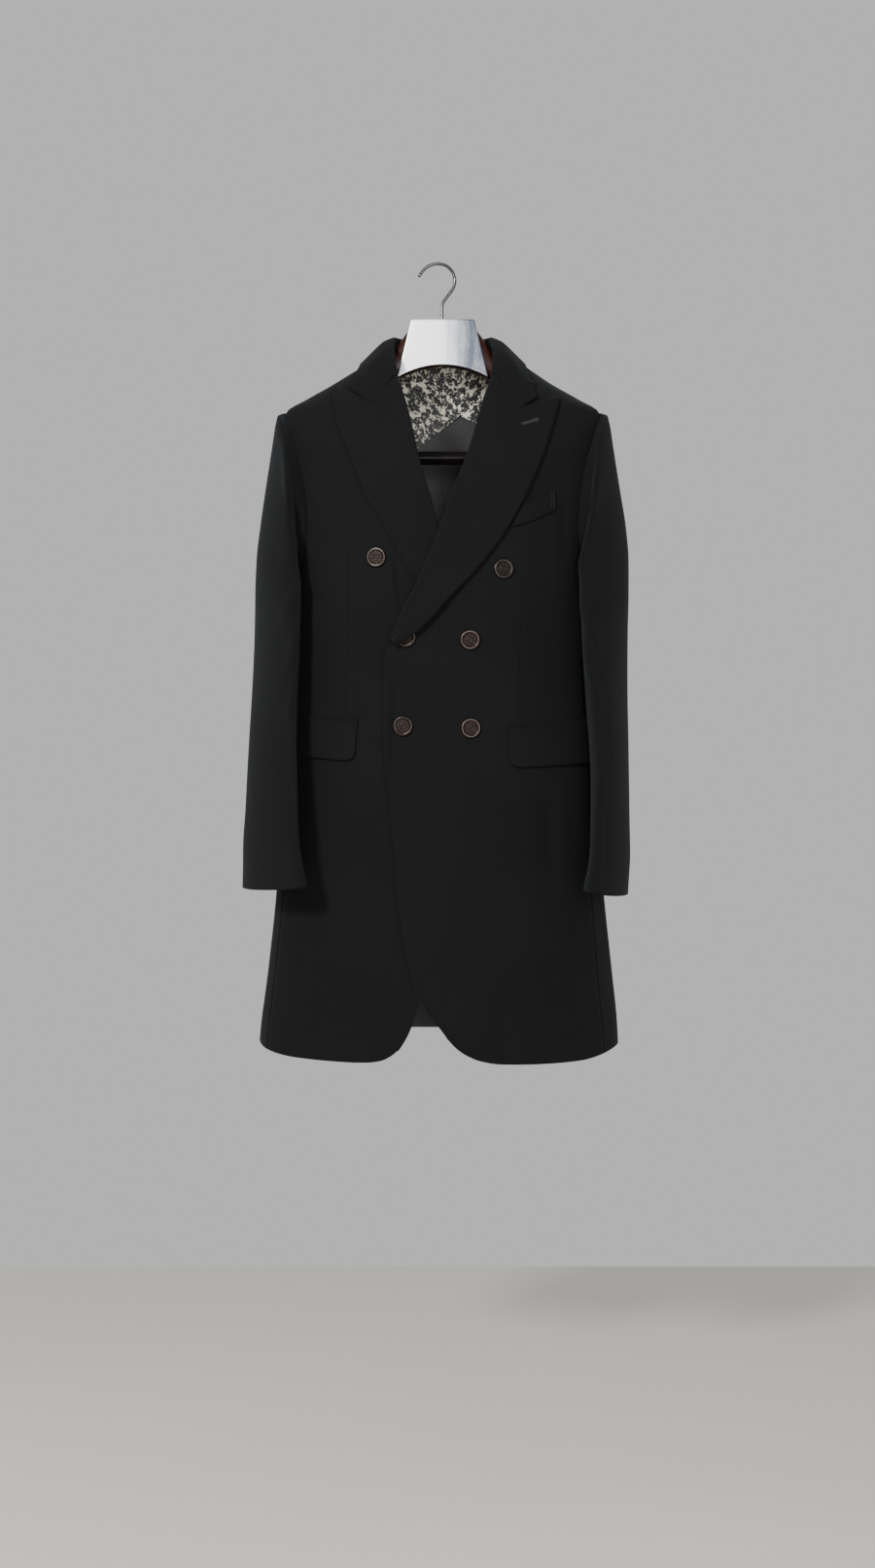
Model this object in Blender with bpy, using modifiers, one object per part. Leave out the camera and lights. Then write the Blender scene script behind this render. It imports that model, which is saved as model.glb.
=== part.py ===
"""A double-breasted overcoat closed on its hanger, built from the pieces that are cut and sewn.

Metres, +Z up, front towards -Y. The origin is the inside top of the hook. Left and right are
the wearer's, so left lies at +X. The coat is one hollow surface, read at an angle round it
(0 at centre front, 180 at centre back, left positive) and at a height. Each piece is a grid of
points on that surface, lifted off it by the layers beneath, and thickened to the cloth's wall.
"""
import math

import bpy
import numpy as np
from mathutils import Vector

# Driving sizes
CLOTH = 0.0022
LINING = 0.0012
YOKE_GAP = 0.0018
YOKE_SEAM_GAP = 0.0005
SEAM_GAP = 0.0003
COAT_CENTRE = 0.0072
SQUARENESS = 2.2
BREAK_HEIGHT = -0.5265
TIP_HEIGHT = -0.2065
SIDES = {"left": 1, "right": -1}

# Hanger
WIRE_RADIUS = 0.0021
HOOK_RADIUS = 0.0225
HOOK_CENTRE_X = 0.0010
HOOK_START = 172.0
HOOK_END = -38.0
HOOK_STEPS = 14
STEM_X = 0.006
# The bend from the hook to the stem: share of the way down, share of the way back across
HOOK_BEND = ((0.22, 0.70), (0.45, 0.32), (0.65, 0.10), (0.82, 0.01), (1.0, 0.0))
WOOD_TOP = -0.0820
BAR_RADIUS = 0.0095
BAR_HEIGHT = -0.2680
BLOCK_INNER = 0.1780
COVER_TOP_HALF = 0.0430
COVER_FOOT_HALF = 0.0621
COVER_TOP = -0.0791
COVER_FOOT = -0.1572
COVER_ARCH = 0.0170
COVER_WALL = 0.0020
COVER_FACE = 0.0158
COVER_BOW = 0.0012
COVER_ROWS = 5
COVER_COLUMNS = 11

# Buttons
BUTTON_RADIUS = 0.0135
BUTTON_RISE = 0.0034
BUTTON_SEAT = 0.0004
# The button's turned profile, as shares of its radius and its rise
BUTTON_PROFILE = ((0.0, 0.62), (0.55, 0.62), (0.74, 0.98), (0.92, 1.0), (1.0, 0.62),
                  (0.93, 0.0), (0.0, 0.0))
BUTTON_STEPS = 18


class Table:
    """Rows of sizes with named columns, read between the rows on a curve with no overshoot."""

    def __init__(self, columns, rows):
        self.columns = columns.split()
        values = np.array(sorted(rows), dtype=float)
        self.keys = values[:, 0]
        self.values = values
        steps = np.diff(self.keys)[:, None]
        slopes = np.diff(values, axis=0) / steps
        tangents = np.zeros_like(values)
        tangents[0] = slopes[0]
        tangents[-1] = slopes[-1]
        for row in range(1, len(values) - 1):
            before, after = slopes[row - 1], slopes[row]
            same = before * after > 0
            total = np.where(same, before + after, 1.0)
            tangents[row] = np.where(same, 2.0 * before * after / total, 0.0)
        self.tangents = tangents

    def row(self, key):
        """Every column at one key."""
        key = min(max(key, self.keys[0]), self.keys[-1])
        index = int(np.searchsorted(self.keys, key, side="right")) - 1
        index = min(max(index, 0), len(self.keys) - 2)
        width = self.keys[index + 1] - self.keys[index]
        t = (key - self.keys[index]) / width
        ahead = t * t * (3.0 - 2.0 * t)
        leave = t * (1.0 - t) ** 2 * width
        arrive = t * t * (t - 1.0) * width
        return (self.values[index] * (1.0 - ahead) + self.values[index + 1] * ahead
                + self.tangents[index] * leave + self.tangents[index + 1] * arrive)

    def at(self, column, key):
        """One column at one key."""
        return float(self.row(key)[self.columns.index(column)])


# The coat's outer surface, from the neck to below the hem
BODY = Table("height centre half_width front back", (
    (-0.118, 0.0000, 0.0600, 0.030, 0.058),
    (-0.124, 0.0000, 0.0720, 0.035, 0.062),
    (-0.139, 0.0000, 0.1050, 0.045, 0.070),
    (-0.154, 0.0000, 0.1310, 0.053, 0.076),
    (-0.170, 0.0000, 0.1570, 0.062, 0.082),
    (-0.188, 0.0000, 0.1890, 0.070, 0.088),
    (-0.2065, 0.0000, 0.2170, 0.076, 0.092),
    (-0.250, 0.0000, 0.2140, 0.088, 0.098),
    (-0.300, 0.0000, 0.2080, 0.098, 0.102),
    (-0.360, 0.0000, 0.2030, 0.105, 0.104),
    (-0.425, 0.0000, 0.2000, 0.108, 0.104),
    (-0.500, -0.0010, 0.2030, 0.108, 0.102),
    (-0.580, -0.0020, 0.2060, 0.105, 0.100),
    (-0.720, -0.0040, 0.2180, 0.105, 0.100),
    (-0.860, -0.0055, 0.2245, 0.108, 0.103),
    (-0.975, -0.0065, 0.2354, 0.111, 0.106),
    (-1.050, -0.0070, 0.2440, 0.112, 0.108),
    (-1.110, -0.0070, 0.2480, 0.112, 0.109),
))

# The armhole on that surface, once round: 0 at the shoulder tip, 90 at the front, 180 below
ARMHOLE = Table("turn angle height", (
    (0, 90.0, -0.2065), (30, 77.0, -0.2350), (60, 68.5, -0.2850), (90, 65.0, -0.3400),
    (120, 67.0, -0.3850), (145, 73.0, -0.4130), (180, 90.0, -0.4300), (215, 107.0, -0.4130),
    (240, 113.5, -0.3830), (270, 115.5, -0.3350), (300, 112.0, -0.2800),
    (330, 104.0, -0.2330), (360, 90.0, -0.2065),
))
ARMHOLE_FRONT_END = 145.0
ARMHOLE_BACK_START = 215.0

# The seams beside the side panel, and the lower edge, by angle
SIDE_SEAMS = Table("height front back", (
    (-0.413, 73.0, 107.0), (-0.600, 70.0, 110.0), (-1.110, 68.0, 112.0),
))
HEM = Table("angle height", (
    (0, -1.0975), (30, -1.0965), (50, -1.0935), (68, -1.0870), (90, -1.0780),
    (112, -1.0740), (150, -1.0710), (180, -1.0690),
))
HEM_TILT = 0.0030
HEM_LEVEL = -1.0900
SIDE_HEM_ANGLES = (68.0, 112.0)

# The skirt's soft waves: how many round the coat, their turn and their share
WAVES = ((4.0, 0.9, 0.60), (7.0, 2.1, 0.40))
WAVE_DEPTH = 0.0065
WAVE_TOP = -0.6200
WAVE_FULL = -1.0800
WAVE_FREE_ANGLE = 42.0

# Each front's free edge: its roll line down to the break, then its edge down to the corner.
# reach is measured from the coat's centre towards the front's own side.
FRONT_EDGE = {
    "left": Table("height reach", (
        (-0.1250, 0.0690), (-0.1450, 0.0685), (-0.1667, 0.0660), (-0.2013, 0.0547),
        (-0.2328, 0.0461), (-0.2726, 0.0347), (-0.3349, 0.0108), (-0.3815, -0.0051),
        (-0.4194, -0.0215), (-0.4494, -0.0333), (-0.4851, -0.0516), (-0.5233, -0.0685),
        (-0.5555, -0.0792), (-0.6379, -0.0809), (-0.7060, -0.0779), (-0.7648, -0.0700),
        (-0.8692, -0.0621), (-0.9409, -0.0516), (-1.0007, -0.0359), (-1.0279, -0.0202),
        (-1.0540, 0.0011), (-1.1000, 0.0311),
    )),
    "right": Table("height reach", (
        (-0.1250, 0.0690), (-0.1450, 0.0670), (-0.1679, 0.0615), (-0.2021, 0.0508),
        (-0.2504, 0.0392), (-0.2814, 0.0328), (-0.3407, 0.0153), (-0.3819, 0.0051),
        (-0.4250, -0.0180), (-0.4780, -0.0450), (-0.5300, -0.0690), (-0.5555, -0.0740),
        (-0.6400, -0.0760), (-0.7000, -0.0690), (-0.7800, -0.0560), (-0.8500, -0.0390),
        (-0.9200, -0.0140), (-0.9750, 0.0120), (-1.0163, 0.0333), (-1.0502, 0.0444),
        (-1.0764, 0.0594), (-1.1000, 0.0800),
    )),
}
# How far the lower edge rises at the front corner, by the distance across from the corner
CORNER_HEIGHT = {"left": -1.0540, "right": -1.0764}
CORNER_RISE = {
    "left": Table("across rise", ((0.000, 0.0435), (0.012, 0.0265), (0.030, 0.0130),
                                  (0.050, 0.0050), (0.075, 0.0010), (0.120, 0.0))),
    "right": Table("across rise", ((0.000, 0.0190), (0.010, 0.0105), (0.023, 0.0040),
                                   (0.040, 0.0010), (0.060, 0.0))),
}

# Lapels: outer edge below the peak, the notch and the peak's tip
LAPEL_EDGE = {
    "left": Table("height reach", (
        (-0.1900, 0.1600), (-0.2354, 0.1467), (-0.2725, 0.1345), (-0.3148, 0.1162),
        (-0.3512, 0.0986), (-0.3779, 0.0838), (-0.4076, 0.0633), (-0.4400, 0.0371),
        (-0.4678, 0.0109), (-0.4930, -0.0124), (-0.5110, -0.0328), (-0.5242, -0.0531),
        (-0.5310, -0.0678),
    )),
    "right": Table("height reach", (
        (-0.1735, 0.1535), (-0.2253, 0.1439), (-0.2811, 0.1231), (-0.3325, 0.1029),
        (-0.3732, 0.0793), (-0.4098, 0.0594), (-0.4466, 0.0346), (-0.4800, 0.0040),
        (-0.5050, -0.0260), (-0.5200, -0.0480), (-0.5280, -0.0640),
    )),
}
NOTCH = {"left": (0.1010, -0.2125), "right": (0.0951, -0.2050)}
NOTCH_SHARE = 0.42
LAPEL_TURNS = (0.0, 60.0, 120.0, 180.0)
LAPEL_SHARES = (0.14, NOTCH_SHARE, 0.62, 0.82, 1.0)
LAPEL_LEAST = 0.0040
# The roll's radius, and how high the lapel's middle surface lies over the front's
LAPEL_ROLL = {
    "left": Table("height radius rest", (
        (-0.1600, 0.0030, 0.0052), (-0.4300, 0.0032, 0.0054), (-0.4800, 0.0039, 0.0078),
        (-0.5300, 0.0039, 0.0078),
    )),
    "right": Table("height radius rest", (
        (-0.1600, 0.0030, 0.0052), (-0.3000, 0.0030, 0.0052), (-0.3650, 0.0018, 0.0032),
        (-0.5290, 0.0018, 0.0032),
    )),
}

# Where the top front lies over the under one, and over the under lapel
LAP_START = 0.150
LAP_FULL = 0.095
LAP_LIFT = 0.0028
LAPEL_BENEATH = Table("height lift", (
    (-0.2700, 0.0), (-0.3400, 0.0036), (-0.5400, 0.0036), (-0.6100, 0.0),
))

# The collar from centre back (0) to the gorge (1): neck seam, roll, leaf's middle, leaf's edge
COLLAR = Table(
    "share neck_x neck_y neck_z roll_x roll_y roll_z leaf_x leaf_y leaf_z edge_x edge_y edge_z", (
        (0.00, 0.0000, 0.0615, -0.1226, 0.0000, 0.0650, -0.0945,
         0.0000, 0.0775, -0.1210, 0.0000, 0.0830, -0.1510),
        (0.30, 0.0440, 0.0490, -0.1226, 0.0410, 0.0515, -0.0955,
         0.0510, 0.0650, -0.1190, 0.0640, 0.0745, -0.1480),
        (0.50, 0.0655, 0.0250, -0.1226, 0.0610, 0.0240, -0.0980,
         0.0770, 0.0340, -0.1150, 0.1010, 0.0400, -0.1410),
        (0.62, 0.0727, 0.0000, -0.1222, 0.0670, 0.0000, -0.1010,
         0.0875, -0.0010, -0.1135, 0.1110, -0.0010, -0.1370),
        (0.75, 0.0712, -0.0230, -0.1305, 0.0685, -0.0230, -0.1150,
         0.0925, -0.0290, -0.1280, 0.1160, -0.0300, -0.1500),
        (0.88, 0.0708, -0.0405, -0.1460, 0.0682, -0.0440, -0.1400,
         0.0985, -0.0520, -0.1560, 0.1215, -0.0480, -0.1700),
        (1.00, 0.0692, -0.0548, -0.1664, 0.0662, -0.0578, -0.1664,
         0.0980, -0.0700, -0.2050, 0.1265, -0.0650, -0.1900),
    ))
COLLAR_STEPS = 13
COLLAR_BLEND = 0.70
# The knots beside the roll: up the stand, then out and down from the roll, and the leaf's swell
STAND_SHARE = 0.62
ROLL_OUT = 0.0062
ROLL_DOWN = 0.0020
LEAF_SWELL = 0.0016
COLLAR_GAP = 0.0024
OUTLINE_SHARE = 0.985
COLLAR_CORNER = {"left": (0.1265, -0.1967), "right": (0.1259, -0.1826)}
GORGE_GAP = 0.0012

# A sleeve's rings, from the armhole to the cuff. The outer and inner points give each ring's
# place and slant. For each sleeve, turn brings the ring's front end inwards and its back end
# outwards, and pull brings both ends inwards.
SLEEVE = Table(
    "ring outer_x outer_z inner_x inner_z centre_y half_depth"
    " turn_left pull_left turn_right pull_right", (
        (1, 0.2275, -0.2120, 0.2055, -0.4320, -0.0010, 0.057, 0.0, -0.0130, 0.0, -0.0130),
        (2, 0.2312, -0.2240, 0.2080, -0.4365, -0.0030, 0.061, -0.0040, -0.0110, -0.0030, -0.0095),
        (3, 0.2365, -0.2600, 0.2085, -0.4450, -0.0060, 0.062, -0.0100, -0.0105, -0.0080, -0.0075),
        (4, 0.2430, -0.3110, 0.2085, -0.4560, -0.0100, 0.066, -0.0180, -0.0120, -0.0140, -0.0085),
        (5, 0.2490, -0.3600, 0.2070, -0.4700, -0.0160, 0.067, -0.0240, -0.0138, -0.0175, -0.0100),
        (6, 0.2530, -0.4080, 0.2050, -0.4880, -0.0220, 0.067, -0.0235, -0.0130, -0.0200, -0.0100),
        (7, 0.2530, -0.4560, 0.2040, -0.5120, -0.0280, 0.065, -0.0225, -0.0098, -0.0208, -0.0068),
        (8, 0.2510, -0.5050, 0.2035, -0.5420, -0.0340, 0.063, -0.0225, -0.0046, -0.0225, -0.0044),
        (9, 0.2510, -0.5550, 0.2045, -0.5800, -0.0400, 0.062, -0.0208, -0.0018, -0.0228, -0.0038),
        (10, 0.2520, -0.6050, 0.2060, -0.6220, -0.0470, 0.060, -0.0186, 0.0, -0.0233, -0.0050),
        (11, 0.2540, -0.6550, 0.2090, -0.6670, -0.0540, 0.059, -0.0168, 0.0, -0.0242, -0.0090),
        (12, 0.2550, -0.7050, 0.2110, -0.7130, -0.0620, 0.058, -0.0162, 0.0, -0.0260, -0.0118),
        (13, 0.2555, -0.7550, 0.2120, -0.7590, -0.0700, 0.057, -0.0174, -0.0020, -0.0281, -0.0131),
        (14, 0.2555, -0.8050, 0.2120, -0.8050, -0.0790, 0.056, -0.0188, -0.0030, -0.0320, -0.0130),
        (15, 0.2500, -0.8640, 0.2030, -0.8540, -0.0890, 0.055, -0.0212, 0.0, -0.0385, -0.0085),
    ))
SLEEVE_RINGS = 15
ARMHOLE_MIDDLE = -0.3180
CAP_INSET = 0.0014
CAP_OUTSET = 0.0020
# The right sleeve hangs a little outwards, and the left one lower
SLEEVE_LEAN = {"left": -0.0060, "right": 0.0070}
SLEEVE_DROP = {"left": 0.0070, "right": -0.0010}
HANG_RINGS = (4.0, 15.0)
FOREARM_SEAM = 142.0
HINDARM_SEAM = 232.0
SLEEVE_SEAM_HALF = 0.6
TOP_SLEEVE_COLUMNS = 14
UNDER_SLEEVE_COLUMNS = 7
SEAM_FOLD = 5.0

# Pockets on the body's surface: the mouth's two ends, and the flap's depth
POCKETS = {
    "left": {"near_x": 0.0881, "near_z": -0.6408, "far_angle": 84.0, "far_z": -0.6300},
    "right": {"near_x": 0.1148, "near_z": -0.6317, "far_angle": 90.0, "far_z": -0.6180},
}
JET_HEIGHT = 0.0048
JET_WALL = 0.0012
FLAP_DEPTH = 0.0530
FLAP_CORNER = 0.0110
FLAP_COLUMNS = (0.0, 0.022, 0.05, 0.085, 0.2, 0.35, 0.5, 0.65, 0.8, 0.92, 1.0)
FLAP_ROWS = (0.0, 0.4, 0.8, 1.0)
MOUTH_WIDTH = 0.1550
JET_COLUMNS = 11
JET_SEAT = 0.0002
FLAP_SEAT = 0.0005
# Angles between which a pocket passes from the lapped front to the panel beside it
LEVEL_ANGLES = (60.0, 75.0)
# The breast welt's corners, as reach and height
WELT = {"upper": ((0.1065, -0.3438), (0.1502, -0.3228)),
        "lower": ((0.0903, -0.3753), (0.1515, -0.3484))}
WELT_ROWS = 3
WELT_COLUMNS = 7

BUTTONS = {
    "button_top_right": (-0.0895, -0.4158, "right"),
    "button_top_left": (0.0803, -0.4317, "left"),
    "button_middle_right": (-0.0490, -0.5240, "left"),
    "button_middle_left": (0.0358, -0.5273, "left"),
    "button_low_right": (-0.0535, -0.6433, "left"),
    "button_low_left": (0.0372, -0.6460, "left"),
}

# The back vent
VENT_TOP = -0.7200
VENT_LAP_ANGLE = 8.0
VENT_SINK = 0.0034
VENT_SINK_START = -0.6600
VENT_OPENED = -0.7500
VENT_SINK_ANGLES = (154.0, 174.0)

# The yoke of patterned lining: its lower edge, straight from corner to corner, by the
# distance from the coat's centre at the edge's own level
YOKE_EDGE = ((-0.1900, -0.3250), (-0.0900, -0.2793), (-0.0378, -0.2410), (0.0266, -0.1937),
             (0.0498, -0.2058), (0.1900, -0.2900))
YOKE_TOP = -0.1275
YOKE_EDGE_LEVEL = -0.2200
# The yoke's columns, and its rows as share of the way down and gap to the back
YOKE_COLUMNS = (-0.190, -0.155, -0.122, -0.090, -0.064, -0.0378, -0.016, 0.005, 0.0266,
                0.0498, 0.078, 0.110, 0.150, 0.190)
YOKE_ROWS = ((0.0, YOKE_SEAM_GAP), (0.2, YOKE_GAP), (0.45, YOKE_GAP), (0.72, YOKE_GAP),
             (1.0, YOKE_GAP))

# The wooden hanger, from its middle outwards
WOOD = Table("across top foot half_depth", (
    (0.0000, -0.0820, -0.1405, 0.0130),
    (0.0360, -0.0820, -0.1470, 0.0130),
    (0.0400, -0.0838, -0.1490, 0.0132),
    (0.0480, -0.0922, -0.1520, 0.0138),
    (0.0620, -0.1118, -0.1580, 0.0145),
    (0.0740, -0.1300, -0.1640, 0.0155),
    (0.1050, -0.1440, -0.1760, 0.0180),
    (0.1400, -0.1640, -0.1940, 0.0200),
    (0.1740, -0.1868, -0.2130, 0.0210),
    (0.1778, -0.1890, -0.2180, 0.0210),
    (0.1782, -0.1892, -0.2800, 0.0205),
    (0.1960, -0.2000, -0.2810, 0.0180),
    (0.2040, -0.2060, -0.2730, 0.0120),
))
WOOD_STATIONS = (0.0, 0.018, 0.036, 0.040, 0.048, 0.062, 0.074, 0.090, 0.105, 0.122, 0.140,
                 0.158, 0.174, 0.1778, 0.1782, 0.187, 0.196, 0.204)
WOOD_SQUARENESS = 2.8
WOOD_SIDES = 12

MATERIALS = {
    "wool": ((0.0155, 0.0160, 0.0168), 0.85, 0.0),
    "button": ((0.115, 0.088, 0.078), 0.38, 0.75),
    "patterned_lining": ((0.130, 0.115, 0.100), 0.65, 0.0),
    "dark_wood": ((0.030, 0.010, 0.006), 0.30, 0.0),
    "silver_plate": ((0.520, 0.510, 0.490), 0.32, 0.9),
    "steel_wire": ((0.560, 0.560, 0.570), 0.25, 1.0),
}


def ease(start, end, value):
    """Smooth step from 0 at start to 1 at end."""
    t = min(max((value - start) / (end - start), 0.0), 1.0)
    return t * t * (3.0 - 2.0 * t)


def mix(a, b, share):
    """Value a share of the way from a to b."""
    return a + (b - a) * share


# The coat's surface

def drape(angle, height):
    """Soft waves of the skirt, none at centre front, growing towards the hem."""
    turn = math.radians(angle)
    grown = ease(WAVE_TOP, WAVE_FULL, height)
    away = 1.0 - math.exp(-(angle / WAVE_FREE_ANGLE) ** 2)
    wave = sum(share * math.sin(count * turn + start) for count, start, share in WAVES)
    return WAVE_DEPTH * grown * away * wave


def body_point(angle, height):
    """Point of the plain ring at an angle and a height."""
    _, centre, half_width, front, back = BODY.row(height)
    turn = math.radians(angle)
    across = math.sin(turn)
    ahead = math.cos(turn)
    power = 2.0 / SQUARENESS
    depth = front if ahead >= 0.0 else back
    x = centre + half_width * math.copysign(abs(across) ** power, across)
    y = -depth * math.copysign(abs(ahead) ** power, ahead)
    return Vector((x, y, height))


def body_normal(angle, height):
    """Outward direction of the coat's surface."""
    around = body_point(angle + 0.4, height) - body_point(angle - 0.4, height)
    down = body_point(angle, height - 0.001) - body_point(angle, height + 0.001)
    return down.cross(around).normalized()


def on_body(angle, height, lift=0.0):
    """Point on the coat, lifted off its outer surface."""
    rise = lift + drape(angle, height)
    return body_point(angle, height) + body_normal(angle, height) * rise


def angle_at(x, height):
    """Angle, in front, of the point at x on the coat's surface."""
    _, centre, half_width, _, _ = BODY.row(height)
    reach = (x - centre) / half_width
    share = min(abs(reach), 1.0) ** (SQUARENESS / 2.0)
    return math.copysign(math.degrees(math.asin(share)), reach)


def front_lift(side, x, height):
    """How far a front's middle surface lies off the coat's outer surface."""
    if side == "right":
        return -CLOTH / 2.0
    lapped = ease(LAP_START, LAP_FULL, x)
    return lapped * (LAP_LIFT + LAPEL_BENEATH.at("lift", height)) - CLOTH / 2.0


def hem_height(angle):
    """Height of the lower edge, a little lower on the left."""
    return HEM.at("height", abs(angle)) - HEM_TILT * math.sin(math.radians(angle))


def armhole_angle(height, behind):
    """Angle of the armhole's front or back edge at a height, positive."""
    if behind:
        turns = np.linspace(ARMHOLE_BACK_START, 360.0, 60)
    else:
        turns = np.linspace(ARMHOLE_FRONT_END, 0.0, 60)
    heights = [ARMHOLE.at("height", turn) for turn in turns]
    angles = [ARMHOLE.at("angle", turn) for turn in turns]
    return float(np.interp(height, heights, angles))


# Making objects

def make_material(name):
    """Principled material from the table."""
    colour, roughness, metallic = MATERIALS[name]
    material = bpy.data.materials.new(name)
    material.use_nodes = True
    shader = material.node_tree.nodes["Principled BSDF"]
    shader.inputs["Base Color"].default_value = (*colour, 1.0)
    shader.inputs["Roughness"].default_value = roughness
    shader.inputs["Metallic"].default_value = metallic
    material.diffuse_color = (*colour, 1.0)
    return material


def add_object(name, data, material):
    """New object with its own copy of a material, in the coat's collection."""
    piece = bpy.data.objects.new(name, data)
    own = make_material(material)
    own.name = f"{name}_{material}"
    data.materials.append(own)
    collection = bpy.data.collections["overcoat_on_hanger"]
    collection.objects.link(piece)
    return piece


def sheet(name, rows, material="wool", wall=CLOTH):
    """One cut piece: a grid of points about the coat's centre, thickened to its wall."""
    width = len(rows[0])
    points = [(point.x + COAT_CENTRE, point.y, point.z) for row in rows for point in row]
    faces = []
    for i in range(len(rows) - 1):
        for j in range(width - 1):
            first = i * width + j
            faces.append((first, first + 1, first + width + 1, first + width))
    mesh = bpy.data.meshes.new(name)
    mesh.from_pydata(points, [], faces)
    mesh.shade_smooth()
    piece = add_object(name, mesh, material)
    thicken = piece.modifiers.new("wall", "SOLIDIFY")
    thicken.thickness = wall
    thicken.offset = 0.0
    return piece


# Fronts

NECK_LEVELS = (-0.1290, -0.1370, -0.1460, -0.1560, -0.1670, -0.1790, -0.1920)
ARM_LEVELS = (-0.2065, -0.2240, -0.2480, -0.2800, -0.3140, -0.3460, -0.3760, -0.4130)
SKIRT_LEVELS = (-0.4430, -0.4730, -0.5050, -0.5265, -0.5550, -0.6000, -0.6500, -0.7100,
                -0.7800, -0.8500, -0.9200)
CORNER_STEPS = 6
FRONT_COLUMNS = 12
FRONT_SPREAD = 1.15
BACK_COLUMNS = 8
SIDE_COLUMNS = 5
CENTRE_SEAM_ANGLE = 0.035
SEAM_ANGLE = 0.11
RIDGE_ANGLE = 0.15
ROLL_GAP = 0.0009
EDGE_FADE = 0.0120


def outer_angle(height):
    """Angle of a front's outer boundary: shoulder seam, armhole, then side seam."""
    if height >= TIP_HEIGHT:
        return 90.0 - RIDGE_ANGLE
    if height >= ARM_LEVELS[-1]:
        return armhole_angle(height, behind=False) - SEAM_ANGLE
    return SIDE_SEAMS.at("front", height) - SEAM_ANGLE


def front_edge_x(side, height):
    """Reach of the front's own cut edge, which stops short of the lapel's roll."""
    reach = FRONT_EDGE[side].at("reach", height)
    fade = ease(BREAK_HEIGHT - EDGE_FADE, BREAK_HEIGHT, height)
    return reach + fade * (LAPEL_ROLL[side].at("radius", height) + ROLL_GAP)


def front_rows(side):
    """Grid of a front, from its free edge outwards."""
    sign = SIDES[side]
    shares = [(column / (FRONT_COLUMNS - 1)) ** FRONT_SPREAD for column in range(FRONT_COLUMNS)]

    def point(angle, height):
        x = body_point(angle, height).x
        return on_body(angle, height, front_lift(side, x, height))

    rows = []
    for height in NECK_LEVELS + ARM_LEVELS + SKIRT_LEVELS:
        inner = angle_at(sign * front_edge_x(side, height), height)
        outer = sign * outer_angle(height)
        rows.append([point(mix(inner, outer, share), height) for share in shares])
    knee = SKIRT_LEVELS[-1]
    corner_height = CORNER_HEIGHT[side]
    corner_reach = front_edge_x(side, corner_height)
    corner_angle = angle_at(sign * corner_reach, corner_height)
    for step in range(1, CORNER_STEPS + 1):
        down = step / CORNER_STEPS
        row = []
        edge_height = mix(knee, corner_height, down)
        inner = angle_at(sign * front_edge_x(side, edge_height), edge_height)
        for share in shares:
            foot_angle = mix(corner_angle, sign * SIDE_SEAMS.at("front", HEM_LEVEL), share)
            across = sign * body_point(foot_angle, corner_height).x - corner_reach
            foot = hem_height(foot_angle) + CORNER_RISE[side].at("rise", across)
            if share == 0.0:
                foot = corner_height
            height = mix(knee, foot, down)
            outer = sign * outer_angle(height)
            row.append(point(mix(inner, outer, share), height))
        rows.append(row)
    return rows


def skirt_heights(angle):
    """Heights of the rows below the armhole, down to the lower edge at an angle."""
    knee = SKIRT_LEVELS[-1]
    foot = hem_height(angle)
    ends = [mix(knee, foot, step / CORNER_STEPS) for step in range(1, CORNER_STEPS + 1)]
    return list(SKIRT_LEVELS) + ends


def side_rows(side):
    """Grid of the narrow panel under the arm, from its armhole edge down."""
    sign = SIDES[side]
    shares = [column / (SIDE_COLUMNS - 1) for column in range(SIDE_COLUMNS)]
    columns = []
    for share in shares:
        turn = mix(ARMHOLE_FRONT_END, ARMHOLE_BACK_START, share)
        top = ARMHOLE.at("height", turn)
        heights = skirt_heights(sign * mix(*SIDE_HEM_ANGLES, share))
        heights[0] = mix(top, heights[1], 0.5)
        column = []
        for level, height in enumerate([top] + heights):
            _, front, back = SIDE_SEAMS.row(height)
            angle = mix(front + SEAM_ANGLE, back - SEAM_ANGLE, share)
            if level == 0 and 0.0 < share < 1.0:
                angle = ARMHOLE.at("angle", turn)
            column.append(on_body(sign * angle, height, -CLOTH / 2.0))
        columns.append(column)
    return [list(row) for row in zip(*columns)]


def back_rows(side):
    """Grid of a back, from the centre seam outwards, with the vent's lap below."""
    sign = SIDES[side]
    upper = (-0.1243, -0.1310) + NECK_LEVELS[1:] + ARM_LEVELS
    columns = []
    for column in range(BACK_COLUMNS):
        share = column / (BACK_COLUMNS - 1)
        points = []
        foot_angle = sign * mix(180.0, SIDE_HEM_ANGLES[1], share)
        for height in list(upper) + skirt_heights(foot_angle):
            if height >= TIP_HEIGHT:
                outer = 90.0 + RIDGE_ANGLE
            elif height >= ARM_LEVELS[-1]:
                outer = armhole_angle(height, behind=True) + SEAM_ANGLE
            else:
                outer = SIDE_SEAMS.at("back", height) + SEAM_ANGLE
            centre = 180.0 - CENTRE_SEAM_ANGLE
            sink = 0.0
            if side == "right":
                centre += ease(VENT_TOP, VENT_OPENED, height) * VENT_LAP_ANGLE
                sink = VENT_SINK * ease(VENT_SINK_START, VENT_TOP, height)
            angle = mix(centre, outer, share)
            sink *= ease(*VENT_SINK_ANGLES, angle)
            points.append(on_body(sign * angle, height, -CLOTH / 2.0 - sink))
        columns.append(points)
    return [list(row) for row in zip(*columns)]


# Lapels and collar

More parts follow.
